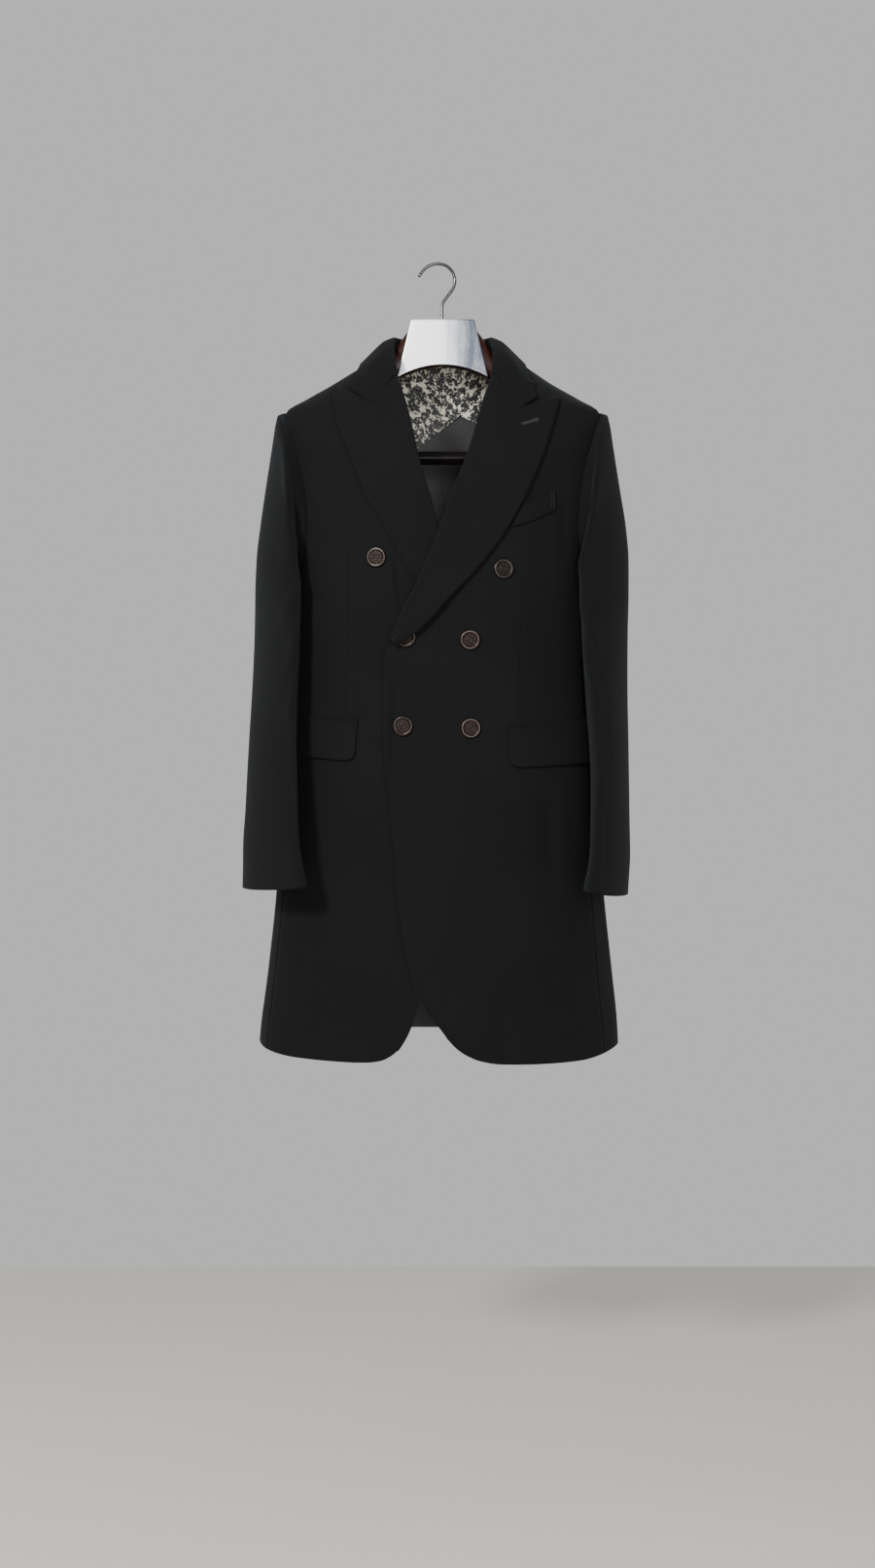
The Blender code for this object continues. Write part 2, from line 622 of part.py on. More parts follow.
def lapel_rows(side):
    """Grid of a lapel: a turn out of the front's edge, then across to its outer edge."""
    sign = SIDES[side]
    roll_top = NECK_LEVELS[4]
    roll_end = SKIRT_LEVELS[3]
    peak = LAPEL_EDGE[side].keys[-1]
    edge_end = LAPEL_EDGE[side].keys[0]
    notch_reach, notch_height = NOTCH[side]
    levels = [height for height in NECK_LEVELS + ARM_LEVELS + SKIRT_LEVELS
              if roll_end <= height <= roll_top]
    top_roll = FRONT_EDGE[side].at("reach", roll_top)
    top_peak = LAPEL_EDGE[side].at("reach", peak)
    rows = []
    for roll_height in levels:
        down = (roll_height - roll_top) / (roll_end - roll_top)
        edge_height = mix(peak, edge_end, down)
        roll_reach = FRONT_EDGE[side].at("reach", roll_height)
        edge_reach = LAPEL_EDGE[side].at("reach", edge_height)
        radius = LAPEL_ROLL[side].at("radius", roll_height)
        rest = LAPEL_ROLL[side].at("rest", roll_height)
        edge_reach = max(edge_reach, roll_reach + radius + LAPEL_LEAST)
        pull = (1.0 - down) ** 3
        row = []
        for turn in LAPEL_TURNS:
            out = math.radians(turn)
            reach = roll_reach + radius * (1.0 - math.sin(out))
            lift = radius * (1.0 - math.cos(out))
            row.append(lapel_point(side, sign * reach, roll_height, lift))
        for share in LAPEL_SHARES:
            reach = mix(roll_reach + radius, edge_reach, share)
            height = mix(roll_height, edge_height, share)
            if share <= NOTCH_SHARE:
                part = share / NOTCH_SHARE
            else:
                part = (1.0 - share) / (1.0 - NOTCH_SHARE)
            reach_off = notch_reach - mix(top_roll, top_peak, NOTCH_SHARE)
            height_off = notch_height - mix(roll_top, peak, NOTCH_SHARE)
            reach += pull * part * reach_off
            height += pull * part * height_off
            lift = mix(2.0 * radius, rest, ease(0.0, 0.5, share))
            row.append(lapel_point(side, sign * reach, height, lift))
        rows.append(row)
    return rows


def lapel_point(side, x, height, lift):
    """Point over a front, by its x, its height and its lift from that front's middle."""
    return on_body(angle_at(x, height), height, lift + front_lift(side, x, height))


def clear_of_front(point, side, clearance):
    """Move a point forwards off a front, where it lies too near or behind it."""
    half_width = BODY.at("half_width", point.z)
    if point.y > 0.0 or abs(point.x) > OUTLINE_SHARE * half_width:
        return point
    lift = front_lift(side, point.x, point.z) + clearance
    surface = on_body(angle_at(point.x, point.z), point.z, lift)
    return surface if point.y > surface.y else point


def collar_section(share, side):
    """Points across the collar at one share: stand, roll and leaf."""
    sign = SIDES[side]
    row = COLLAR.row(share)
    neck, roll, leaf, edge = (Vector(row[first:first + 3]) for first in (1, 4, 7, 10))
    outward = leaf - roll
    outward.z = 0.0
    outward.normalize()
    stand = mix(neck, roll, STAND_SHARE)
    shoulder = roll + outward * ROLL_OUT - Vector((0.0, 0.0, ROLL_DOWN))
    crown = mix(shoulder, leaf, 0.5) + Vector((0.0, 0.0, LEAF_SWELL))
    knots = (neck, stand, roll, shoulder, crown, leaf, mix(leaf, edge, 0.5), edge)
    return [Vector((sign * knot.x, knot.y, knot.z)) for knot in knots]


def gorge_row(side):
    """The collar's front end: along the gorge to the notch, then out to its corner."""
    gorge = lapel_rows(side)[0][:len(LAPEL_TURNS) + 2]
    along = [point + Vector((0.0, 0.0, GORGE_GAP)) for point in gorge]
    reach, height = COLLAR_CORNER[side]
    rest = LAPEL_ROLL[side].at("rest", height)
    corner = lapel_point(side, SIDES[side] * reach, height, rest)
    return along + [mix(along[-1], corner, 0.5), corner]


def collar_rows():
    """Grid of the collar, once round from the right gorge to the left one."""
    halves = {}
    for side in SIDES:
        table_end = collar_section(1.0, side)
        moves = [end - start for start, end in zip(table_end, gorge_row(side))]
        rows = []
        for step in range(COLLAR_STEPS + 1):
            share = step / COLLAR_STEPS
            blend = ease(COLLAR_BLEND, 1.0, share)
            row = []
            for index, point in enumerate(collar_section(share, side)):
                point = point + moves[index] * blend
                if index > 2 and step < COLLAR_STEPS:
                    point = clear_of_front(point, side, CLOTH + COLLAR_GAP)
                row.append(point)
            rows.append(row)
        halves[side] = rows
    return list(reversed(halves["right"])) + halves["left"][1:]


# Sleeves

def armhole_point(turn):
    """Point of the armhole's edge, in the middle of the cloth, on the left."""
    return on_body(ARMHOLE.at("angle", turn), ARMHOLE.at("height", turn), -CLOTH / 2.0)


def sleeve_ring(ring, side, turns):
    """Points round a sleeve: 0 at its outer side, 90 in front, 180 inside."""
    points = []
    if ring == 0:
        middle = Vector((0.0, 0.0, ARMHOLE_MIDDLE))
        for turn in turns:
            edge = armhole_point(turn % 360.0)
            towards = middle - edge
            towards.x = 0.0
            towards.normalize()
            points.append(edge + towards * CAP_INSET + Vector((CAP_OUTSET, 0.0, 0.0)))
    else:
        _, outer_x, outer_z, inner_x, inner_z, centre_y, half_depth = SLEEVE.row(ring)[:7]
        twist = SLEEVE.at(f"turn_{side}", ring)
        pull = SLEEVE.at(f"pull_{side}", ring)
        down = ease(*HANG_RINGS, ring)
        outer = Vector((outer_x + SLEEVE_LEAN[side] * down, centre_y,
                        outer_z - SLEEVE_DROP[side] * down))
        inner = Vector((inner_x + SLEEVE_LEAN[side] * down, centre_y,
                        inner_z - SLEEVE_DROP[side] * down))
        middle = (outer + inner) / 2.0
        half = (outer - inner) / 2.0
        for turn in turns:
            radians = math.radians(turn)
            aside = math.cos(radians)
            ahead = math.sin(radians)
            point = middle + half * aside
            point.y -= half_depth * ahead
            point.x += twist * ahead + pull * ahead * ahead
            points.append(point)
    sign = SIDES[side]
    return [Vector((sign * point.x, point.y, point.z)) for point in points]


def sleeve_rows(side, first, last, columns):
    """Grid of one of a sleeve's two pieces, between two seams."""
    inner_first = first + SEAM_FOLD
    inner_last = last - SEAM_FOLD
    turns = [mix(inner_first, inner_last, column / (columns - 3)) for column in range(columns - 2)]
    turns = [first] + turns + [last]
    return [sleeve_ring(ring, side, turns) for ring in range(SLEEVE_RINGS + 1)]


# Pockets

def pocket_point(side, share, drop, lift):
    """Point along a pocket's mouth and down from it, lifted off its front."""
    pocket = POCKETS[side]
    sign = SIDES[side]
    near = angle_at(sign * pocket["near_x"], pocket["near_z"])
    angle = mix(near, sign * pocket["far_angle"], share)
    height = mix(pocket["near_z"], pocket["far_z"], share) - drop
    x = body_point(angle, height).x
    covered = ease(*LEVEL_ANGLES, abs(angle))
    under = mix(front_lift(side, x, height), -CLOTH / 2.0, covered) + CLOTH / 2.0
    return on_body(angle, height, under + lift)


def jet_rows(side):
    """Grid of the narrow strip over a pocket's mouth."""
    lift = SEAM_GAP + JET_WALL / 2.0 + JET_SEAT
    shares = [column / (JET_COLUMNS - 1) for column in range(JET_COLUMNS)]
    return [[pocket_point(side, share, drop, lift) for share in shares]
            for drop in (0.0, JET_HEIGHT)]


def flap_rows(side):
    """Grid of a pocket flap with its rounded front corner."""
    lift = SEAM_GAP + CLOTH / 2.0 + FLAP_SEAT
    rows = []
    for part in FLAP_ROWS:
        row = []
        for share in FLAP_COLUMNS:
            near = min(share * MOUTH_WIDTH, FLAP_CORNER)
            far = min((1.0 - share) * MOUTH_WIDTH, FLAP_CORNER)
            rounded = sum(FLAP_CORNER - math.sqrt(FLAP_CORNER ** 2 - (FLAP_CORNER - along) ** 2)
                          for along in (near, far))
            drop = JET_HEIGHT + SEAM_GAP + part * (FLAP_DEPTH - rounded)
            row.append(pocket_point(side, share, drop, lift))
        rows.append(row)
    return rows


def welt_rows():
    """Grid of the breast welt."""
    rows = []
    for step in range(WELT_ROWS):
        part = step / (WELT_ROWS - 1)
        row = []
        for column in range(WELT_COLUMNS):
            share = column / (WELT_COLUMNS - 1)
            upper = [mix(*pair, share) for pair in zip(*WELT["upper"])]
            lower = [mix(*pair, share) for pair in zip(*WELT["lower"])]
            x = mix(upper[0], lower[0], part)
            height = mix(upper[1], lower[1], part)
            lift = front_lift("left", x, height) + CLOTH + 2.0 * SEAM_GAP
            row.append(on_body(angle_at(x, height), height, lift))
        rows.append(row)
    return rows


def yoke_rows():
    """Grid of the patterned lining inside the back of the neck."""
    acrosses, heights = zip(*YOKE_EDGE)
    rows = []
    for part, gap in YOKE_ROWS:
        row = []
        for across in YOKE_COLUMNS:
            angle = 180.0 - angle_at(across, YOKE_EDGE_LEVEL)
            foot = float(np.interp(across, acrosses, heights))
            lift = -CLOTH - gap - LINING / 2.0
            row.append(on_body(angle, mix(YOKE_TOP, foot, part), lift))
        rows.append(row)
    return rows


# Buttons and hanger

def add_button(name, x, height, side):
    """Turned button with a raised rim, seated on its front."""
    mesh = bpy.data.meshes.new(name)
    points = [(across * BUTTON_RADIUS, 0.0, up * BUTTON_RISE) for across, up in BUTTON_PROFILE]
    edges = [(index, index + 1) for index in range(len(points) - 1)]
    mesh.from_pydata(points, edges, [])
    button = add_object(name, mesh, "button")
    turned = button.modifiers.new("turned", "SCREW")
    turned.steps = BUTTON_STEPS
    turned.render_steps = BUTTON_STEPS
    turned.use_merge_vertices = True
    turned.merge_threshold = 0.00001
    turned.use_normal_calculate = True
    angle = angle_at(x, height)
    lift = front_lift(side, x, height) + CLOTH / 2.0 + BUTTON_SEAT
    button.location = on_body(angle, height, lift) + Vector((COAT_CENTRE, 0.0, 0.0))
    button.rotation_euler = body_normal(angle, height).to_track_quat("Z", "Y").to_euler()
    return button


def hook_points():
    """The wire's middle line: an arc over the rod, and a bend back to the stem."""
    centre = Vector((HOOK_CENTRE_X, 0.0, WIRE_RADIUS - HOOK_RADIUS))
    points = []
    for step in range(HOOK_STEPS + 1):
        turn = math.radians(mix(HOOK_START, HOOK_END, step / HOOK_STEPS))
        points.append(centre + Vector((math.cos(turn), 0.0, math.sin(turn))) * HOOK_RADIUS)
    end = points[-1]
    for share, across in HOOK_BEND:
        points.append(Vector((mix(STEM_X, end.x, across), 0.0,
                              mix(end.z, WOOD_TOP + 2.0 * SEAM_GAP, share))))
    return points


def add_wire(name, points, radius, material):
    """Round wire or rod along points, with closed ends."""
    data = bpy.data.curves.new(name, "CURVE")
    data.dimensions = "3D"
    data.bevel_depth = radius
    data.bevel_resolution = 2
    data.use_fill_caps = True
    spline = data.splines.new("POLY")
    spline.points.add(len(points) - 1)
    for slot, point in zip(spline.points, points):
        slot.co = (point.x, point.y, point.z, 1.0)
    spline.use_smooth = True
    return add_object(name, data, material)


def wood_ring(across):
    """Rounded section of the hanger at a distance from its middle."""
    _, top, foot, half_depth = WOOD.row(abs(across))
    centre = (top + foot) / 2.0
    half_height = (top - foot) / 2.0
    power = 2.0 / WOOD_SQUARENESS
    points = []
    for step in range(WOOD_SIDES):
        turn = 2.0 * math.pi * step / WOOD_SIDES
        deep = math.copysign(abs(math.cos(turn)) ** power, math.cos(turn))
        high = math.copysign(abs(math.sin(turn)) ** power, math.sin(turn))
        points.append((COAT_CENTRE + across, half_depth * deep, centre + half_height * high))
    return points


def add_wood():
    """Hanger arms: a loft through its sections, closed at both ends."""
    stations = [-across for across in reversed(WOOD_STATIONS[1:])] + list(WOOD_STATIONS)
    points = []
    for across in stations:
        points.extend(wood_ring(across))
    count = WOOD_SIDES
    faces = [tuple(reversed(range(count)))]
    for station in range(len(stations) - 1):
        for step in range(count):
            first = station * count + step
            second = station * count + (step + 1) % count
            faces.append((first, second, second + count, first + count))
    last = (len(stations) - 1) * count
    faces.append(tuple(last + step for step in range(count)))
    mesh = bpy.data.meshes.new("hanger_wood")
    mesh.from_pydata(points, [], faces)
    mesh.shade_smooth()
    return add_object("hanger_wood", mesh, "dark_wood")


def cover_rows():
    """Grid of the plate on the hanger's neck, with its arched foot."""
    rows = []
    for step in range(COVER_ROWS):
        part = step / (COVER_ROWS - 1)
        row = []
        for column in range(COVER_COLUMNS):
            share = 2.0 * column / (COVER_COLUMNS - 1) - 1.0
            half = mix(COVER_TOP_HALF, COVER_FOOT_HALF, part)
            foot = COVER_FOOT + COVER_ARCH * (1.0 - share * share)
            bow = COVER_BOW * (1.0 - share * share)
            row.append(Vector((share * half, -COVER_FACE - bow, mix(COVER_TOP, foot, part))))
        rows.append(row)
    return rows


def build():
    """Clear the scene and build every piece."""
    for old in list(bpy.data.objects):
        bpy.data.objects.remove(old, do_unlink=True)
    collection = bpy.data.collections.new("overcoat_on_hanger")
    bpy.context.scene.collection.children.link(collection)
    for side in SIDES:
        sheet(f"front_{side}", front_rows(side))
        sheet(f"side_{side}", side_rows(side))
        sheet(f"back_{side}", back_rows(side))
        sheet(f"lapel_{side}", lapel_rows(side))
        top_sleeve = sleeve_rows(side, HINDARM_SEAM - 360.0 + SLEEVE_SEAM_HALF,
                                 FOREARM_SEAM - SLEEVE_SEAM_HALF, TOP_SLEEVE_COLUMNS)
        under_sleeve = sleeve_rows(side, FOREARM_SEAM + SLEEVE_SEAM_HALF,
                                   HINDARM_SEAM - SLEEVE_SEAM_HALF, UNDER_SLEEVE_COLUMNS)
        sheet(f"top_sleeve_{side}", top_sleeve)
        sheet(f"under_sleeve_{side}", under_sleeve)
        sheet(f"jet_{side}", jet_rows(side), wall=JET_WALL)
        sheet(f"flap_{side}", flap_rows(side))
    sheet("collar", collar_rows())
    sheet("chest_welt", welt_rows())
    sheet("yoke_lining", yoke_rows(), material="patterned_lining", wall=LINING)
    for name, (x, height, side) in BUTTONS.items():
        add_button(name, x, height, side)
    add_wood()
    sheet("hanger_cover", cover_rows(), material="silver_plate", wall=COVER_WALL)
    add_wire("hanger_hook", hook_points(), WIRE_RADIUS, "steel_wire")
    bar_end = BLOCK_INNER - SEAM_GAP
    add_wire("hanger_bar", [Vector((COAT_CENTRE + bar_end * step / 4.0, 0.0, BAR_HEIGHT))
                            for step in range(-4, 5)], BAR_RADIUS, "dark_wood")


build()
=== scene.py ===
"""Looks of the double-breasted overcoat on its hanger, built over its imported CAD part.

Metres, +Z up, the coat's front towards -Y, the origin at the inside top of the hook. Left and
right are the wearer's. Each cut piece is a fine grid of points on the coat's surface, which is
read at an angle round it (0 at centre front, 180 at centre back, left positive) and a height.
Angles are degrees. Lengths are metres, but millimetres in the rows of a Table and of creases.
"""
import math

import bpy
import numpy as np
from bpy.props import FloatProperty, FloatVectorProperty, PointerProperty
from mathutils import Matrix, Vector


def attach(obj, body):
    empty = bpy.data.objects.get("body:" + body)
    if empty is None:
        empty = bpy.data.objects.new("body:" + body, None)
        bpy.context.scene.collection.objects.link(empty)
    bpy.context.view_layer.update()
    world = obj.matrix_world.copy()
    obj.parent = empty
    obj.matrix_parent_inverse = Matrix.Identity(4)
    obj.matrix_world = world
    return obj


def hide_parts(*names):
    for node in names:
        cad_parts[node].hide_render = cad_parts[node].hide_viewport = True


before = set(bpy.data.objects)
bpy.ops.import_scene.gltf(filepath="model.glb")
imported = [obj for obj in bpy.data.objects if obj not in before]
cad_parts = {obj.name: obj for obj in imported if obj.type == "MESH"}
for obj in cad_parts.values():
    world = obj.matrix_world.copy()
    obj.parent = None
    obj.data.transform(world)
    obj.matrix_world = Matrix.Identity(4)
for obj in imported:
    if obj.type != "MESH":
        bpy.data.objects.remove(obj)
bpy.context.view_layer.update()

bl_info = {
    "name": "Overcoat on its hanger",
    "version": (1, 0, 0),
    "blender": (4, 5, 0),
    "location": "View3D > Sidebar > Overcoat",
    "description": "Builds the overcoat's cloth, sewing, buttons and hanger over the CAD part",
    "category": "Object",
}

PER_METRE = 1000.0

# The part's driving sizes
CLOTH = 0.0022
LINING = 0.0012
YOKE_GAP = 0.0018
YOKE_SEAM_GAP = 0.0005
SEAM_GAP = 0.0003
COAT_CENTRE = 0.0072
SQUARENESS = 2.2
BREAK_HEIGHT = -0.5265
TIP_HEIGHT = -0.2065
SIDES = {"left": 1.0, "right": -1.0}
FORWARD = (0.0, -1.0, 0.0)
BACKWARD = (0.0, 1.0, 0.0)


def curve_through(keys, values, wanted):
    """Values at the wanted keys, on a smooth curve through the rows that never overshoots."""
    keys = np.asarray(keys, dtype=float)
    values = np.asarray(values, dtype=float)
    shape = (-1,) + (1,) * (values.ndim - 1)
    slopes = np.diff(values, axis=0) / np.diff(keys).reshape(shape)
    before = slopes[:-1]
    after = slopes[1:]
    same = before * after > 0.0
    total = np.where(same, before + after, 1.0)
    inner = np.where(same, 2.0 * before * after / total, 0.0)
    tangents = np.concatenate((slopes[:1], inner, slopes[-1:]))
    wanted = np.clip(np.asarray(wanted, dtype=float), keys[0], keys[-1])
    index = np.clip(np.searchsorted(keys, wanted, side="right") - 1, 0, len(keys) - 2)
    width = keys[index + 1] - keys[index]
    t = (wanted - keys[index]) / width
    extra = (1,) * (values.ndim - 1)
    t = t.reshape(t.shape + extra)
    width = width.reshape(width.shape + extra)
    ahead = t * t * (3.0 - 2.0 * t)
    leave = t * (1.0 - t) ** 2 * width
    arrive = t * t * (t - 1.0) * width
    return (values[index] * (1.0 - ahead) + values[index + 1] * ahead
            + tangents[index] * leave + tangents[index + 1] * arrive)


class Table:
    """Rows of sizes with named columns, read between the rows on a smooth curve.

    The rows are millimetres, and their columns named in plain are angles, shares or counts.
    """

    def __init__(self, columns, rows, plain=""):
        self.columns = columns.split()
        units = [1.0 if name in plain.split() else PER_METRE for name in self.columns]
        self.values = np.array(sorted(rows), dtype=float) / units
        self.keys = self.values[:, 0]

    def rows_at(self, keys):
        """Every column at each key."""
        return curve_through(self.keys, self.values, keys)

    def at(self, column, keys):
        """One column at each key."""
        return self.rows_at(keys)[..., self.columns.index(column)]


# The coat's outer surface, from the neck to below the hem
BODY = Table("height centre half_width front back", (
    (-118, 0, 60, 30, 58), (-124, 0, 72, 35, 62), (-139, 0, 105, 45, 70), (-154, 0, 131, 53, 76),
    (-170, 0, 157, 62, 82), (-188, 0, 189, 70, 88), (-206.5, 0, 217, 76, 92),
    (-250, 0, 214, 88, 98), (-300, 0, 208, 98, 102), (-360, 0, 203, 105, 104),
    (-425, 0, 200, 108, 104), (-500, -1, 203, 108, 102), (-580, -2, 206, 105, 100),
    (-720, -4, 218, 105, 100), (-860, -5.5, 224.5, 108, 103), (-975, -6.5, 235.4, 111, 106),
    (-1050, -7, 244, 112, 108), (-1110, -7, 248, 112, 109),
))

# The armhole on that surface, once round: 0 at the shoulder tip, 90 at the front, 180 below
ARMHOLE = Table("turn angle height", (
    (0, 90, -206.5), (30, 77, -235), (60, 68.5, -285), (90, 65, -340), (120, 67, -385),
    (145, 73, -413), (180, 90, -430), (215, 107, -413), (240, 113.5, -383), (270, 115.5, -335),
    (300, 112, -280), (330, 104, -233), (360, 90, -206.5),
), plain="turn angle")
ARMHOLE_FRONT_END = 145.0
ARMHOLE_BACK_START = 215.0
ARMHOLE_FOOT = -0.4130

# The seams beside the side panel, and the lower edge, by angle
SIDE_SEAMS = Table("height front back", (
    (-413, 73, 107), (-600, 70, 110), (-1110, 68, 112),
), plain="front back")
SIDE_FOOT_ANGLES = (68.0, 112.0)
SEAM_FOOT = -1.09
HEM = Table("angle height", (
    (0, -1097.5), (30, -1096.5), (50, -1093.5), (68, -1087), (90, -1078), (112, -1074),
    (150, -1071), (180, -1069),
), plain="angle")
HEM_TILT = 0.0030

# Each front's free edge: its roll line down to the break, then its edge down to the corner
FRONT_EDGE = {
    "left": Table("height reach", (
        (-125, 69), (-145, 68.5), (-166.7, 66), (-201.3, 54.7), (-232.8, 46.1), (-272.6, 34.7),
        (-334.9, 10.8), (-381.5, -5.1), (-419.4, -21.5), (-449.4, -33.3), (-485.1, -51.6),
        (-523.3, -68.5), (-555.5, -79.2), (-637.9, -80.9), (-706, -77.9), (-764.8, -70),
        (-869.2, -62.1), (-940.9, -51.6), (-1000.7, -35.9), (-1027.9, -20.2), (-1054, 1.1),
        (-1100, 31.1),
    )),
    "right": Table("height reach", (
        (-125, 69), (-145, 67), (-167.9, 61.5), (-202.1, 50.8), (-250.4, 39.2), (-281.4, 32.8),
        (-340.7, 15.3), (-381.9, 5.1), (-425, -18), (-478, -45), (-530, -69), (-555.5, -74),
        (-640, -76), (-700, -69), (-780, -56), (-850, -39), (-920, -14), (-975, 12),
        (-1016.3, 33.3), (-1050.2, 44.4), (-1076.4, 59.4), (-1100, 80),
    )),
}
CORNER_HEIGHT = {"left": -1.0540, "right": -1.0764}
CORNER_RISE = {
    "left": Table("across rise", (
        (0, 43.5), (12, 26.5), (30, 13), (50, 5), (75, 1), (120, 0),
    )),
    "right": Table("across rise", (
        (0, 19), (10, 10.5), (23, 4), (40, 1), (60, 0),
    )),
}

# Lapels: outer edge below the peak, the notch and the peak's tip
LAPEL_EDGE = {
    "left": Table("height reach", (
        (-190, 160), (-235.4, 146.7), (-272.5, 134.5), (-314.8, 116.2), (-351.2, 98.6),
        (-377.9, 83.8), (-407.6, 63.3), (-440, 37.1), (-467.8, 10.9), (-495.2, -12.4),
        (-515.2, -32.8), (-528.6, -53.1), (-535, -67.8),
    )),
    "right": Table("height reach", (
        (-173.5, 153.5), (-225.3, 143.9), (-281.1, 123.1), (-332.5, 102.9), (-373.2, 79.3),
        (-409.8, 59.4), (-446.6, 34.6), (-480, 4), (-505, -26), (-520, -48), (-528, -64),
    )),
}
NOTCH = {"left": (0.1010, -0.2125), "right": (0.0951, -0.2050)}
NOTCH_SHARE = 0.42
LAPEL_ROLL = {
    "left": Table("height radius rest", (
        (-160, 3, 5.2), (-430, 3.2, 6.4), (-480, 3.9, 10.8), (-530, 3.9, 11.8),
    )),
    "right": Table("height radius rest", (
        (-160, 3, 5.2), (-300, 3, 5.2), (-365, 1.8, 3.2), (-529, 1.8, 3.2),
    )),
}
LAPEL_TOP = -0.1670
LAPEL_FOOT = -0.5265
LAPEL_LEAST_WIDTH = 0.004
PEAK_BLUNT = 0.0035
# The peak is blunted from this share of the lapel outwards, down to this share of its length
PEAK_SHARE = 0.86
PEAK_DOWN = 0.045

# Where the top front lies over the under one, and over the under lapel
LAP_START = 0.150
LAP_FULL = 0.095
LAP_LIFT = 0.0028
LAPEL_BENEATH = Table("height lift", (
    (-270, 0), (-340, 3.6), (-540, 3.6), (-610, 0),
))

# The collar from centre back (0) to the gorge (1): neck seam, roll, leaf's middle, leaf's edge
COLLAR = Table(
    "share neck_x neck_y neck_z roll_x roll_y roll_z leaf_x leaf_y leaf_z edge_x edge_y edge_z", (
        (0, 0, 61.5, -122.6, 0, 65, -94.5, 0, 77.5, -121, 0, 83, -151),
        (0.3, 44, 49, -122.6, 41, 51.5, -95.5, 51, 65, -119, 64, 74.5, -148),
        (0.5, 65.5, 25, -122.6, 61, 24, -98, 77, 34, -115, 101, 40, -141),
        (0.62, 72.7, 0, -122.2, 67, 0, -101, 87.5, -1, -113.5, 111, -1, -137),
        (0.75, 71.2, -23, -130.5, 68.5, -23, -115, 92.5, -29, -128, 116, -30, -150),
        (0.88, 70.8, -40.5, -146, 68.2, -44, -140, 98.5, -52, -156, 121.5, -48, -170),
        (1, 69.2, -54.8, -166.4, 66.2, -57.8, -166.4, 98, -70, -205, 126.5, -65, -190),
    ), plain="share")
COLLAR_GAP = 0.0024
COLLAR_CORNER = {"left": (0.1265, -0.1967), "right": (0.1259, -0.1826)}
COLLAR_FRONT_START = 0.70
COLLAR_STAND = 0.62
COLLAR_SHOULDER = 0.0062
COLLAR_SHOULDER_DROP = 0.0020
COLLAR_CROWN = 0.0016
GORGE_GAP = 0.0012
# Where the collar's end follows the lapel: turns of its roll, and the first share across it
GORGE_TURNS = (0.0, 60.0, 120.0, 180.0)
GORGE_SHARE = 0.14
# Beyond this share of the body's half width the collar lies over the shoulder, not the front
SHOULDER_SHARE = 0.985

# A sleeve's rings, from the armhole to the cuff
SLEEVE = Table(
    "ring outer_x outer_z inner_x inner_z centre_y half_depth"
    " turn_left pull_left turn_right pull_right", (
        (1, 226.8, -209.6, 205.5, -432, -1, 57, 0, -13, 0, -13),
        (2, 230.8, -221.2, 208, -436.5, -3, 61, -4, -11, -3, -9.5),
        (3, 236.5, -260, 208.5, -445, -6, 62, -10, -10.5, -8, -7.5),
        (4, 243, -311, 208.5, -456, -10, 66, -18, -12, -14, -8.5),
        (5, 249, -360, 207, -470, -16, 67, -24, -13.8, -17.5, -10),
        (6, 253, -408, 205, -488, -22, 67, -23.5, -13, -20, -10),
        (7, 253, -456, 204, -512, -28, 65, -22.5, -9.8, -20.8, -6.8),
        (8, 251, -505, 203.5, -542, -34, 63, -22.5, -4.6, -22.5, -4.4),
        (9, 251, -555, 204.5, -580, -40, 62, -20.8, -1.8, -22.8, -3.8),
        (10, 252, -605, 206, -622, -47, 60, -18.6, 0, -23.3, -5),
        (11, 254, -655, 209, -667, -54, 59, -16.8, 0, -24.2, -9),
        (12, 255, -705, 211, -713, -62, 58, -16.2, 0, -26, -11.8),
        (13, 255.5, -755, 212, -759, -70, 57, -17.4, -2, -28.1, -13.1),
        (14, 255.5, -805, 212, -805, -79, 56, -18.8, -3, -32, -13),
        (15, 250, -864, 203, -854, -89, 55, -21.2, 0, -38.5, -8.5),
    ), plain="ring")
SLEEVE_RINGS = 15
SLEEVE_HANG_START = 4.0
ARMHOLE_MIDDLE = -0.3180
CAP_INSET = -0.0006
CAP_OUTSET = 0.0007
SLEEVE_LEAN = {"left": -0.0060, "right": 0.0070}
SLEEVE_DROP = {"left": 0.0070, "right": -0.0010}
FOREARM_SEAM = 142.0
HINDARM_SEAM = 232.0
SLEEVE_SEAM_HALF = 0.6

# Pockets on the body's surface: the mouth's two ends, and the flap's depth
POCKETS = {
    "left": {"near_x": 0.0881, "near_z": -0.6408, "far_angle": 84.0, "far_z": -0.6300},
    "right": {"near_x": 0.1148, "near_z": -0.6317, "far_angle": 90.0, "far_z": -0.6180},
}
# Angles between which a pocket passes from its front onto the side panel
POCKET_LEAVE_ANGLES = (60.0, 75.0)
JET_HEIGHT = 0.0048
JET_WALL = 0.0012
JET_SWELL = 0.0004
JET_CLEARANCE = 0.0001
FLAP_DEPTH = 0.0530
FLAP_CORNER = 0.0110
FLAP_MOUTH = 0.155
FLAP_CLEARANCE = 0.0005
FLAP_FLARE = 0.0010
WELT = {"upper": ((0.1065, -0.3438), (0.1502, -0.3228)),
        "lower": ((0.0903, -0.3753), (0.1515, -0.3484))}
WELT_BOW = 0.0022

BUTTONS = {
    "button_top_right": (-0.0895, -0.4158, "right"),
    "button_top_left": (0.0803, -0.4317, "left"),
    "button_middle_right": (-0.0490, -0.5240, "left"),
    "button_middle_left": (0.0358, -0.5273, "left"),
    "button_low_right": (-0.0535, -0.6433, "left"),
    "button_low_left": (0.0372, -0.6460, "left"),
}

# The back vent
VENT_TOP = -0.7200
VENT_LAP_ANGLE = 8.0
VENT_TURN_LENGTH = 0.03
VENT_SINK = 0.0034
VENT_SINK_LENGTH = 0.06
VENT_SINK_ANGLES = (154.0, 174.0)

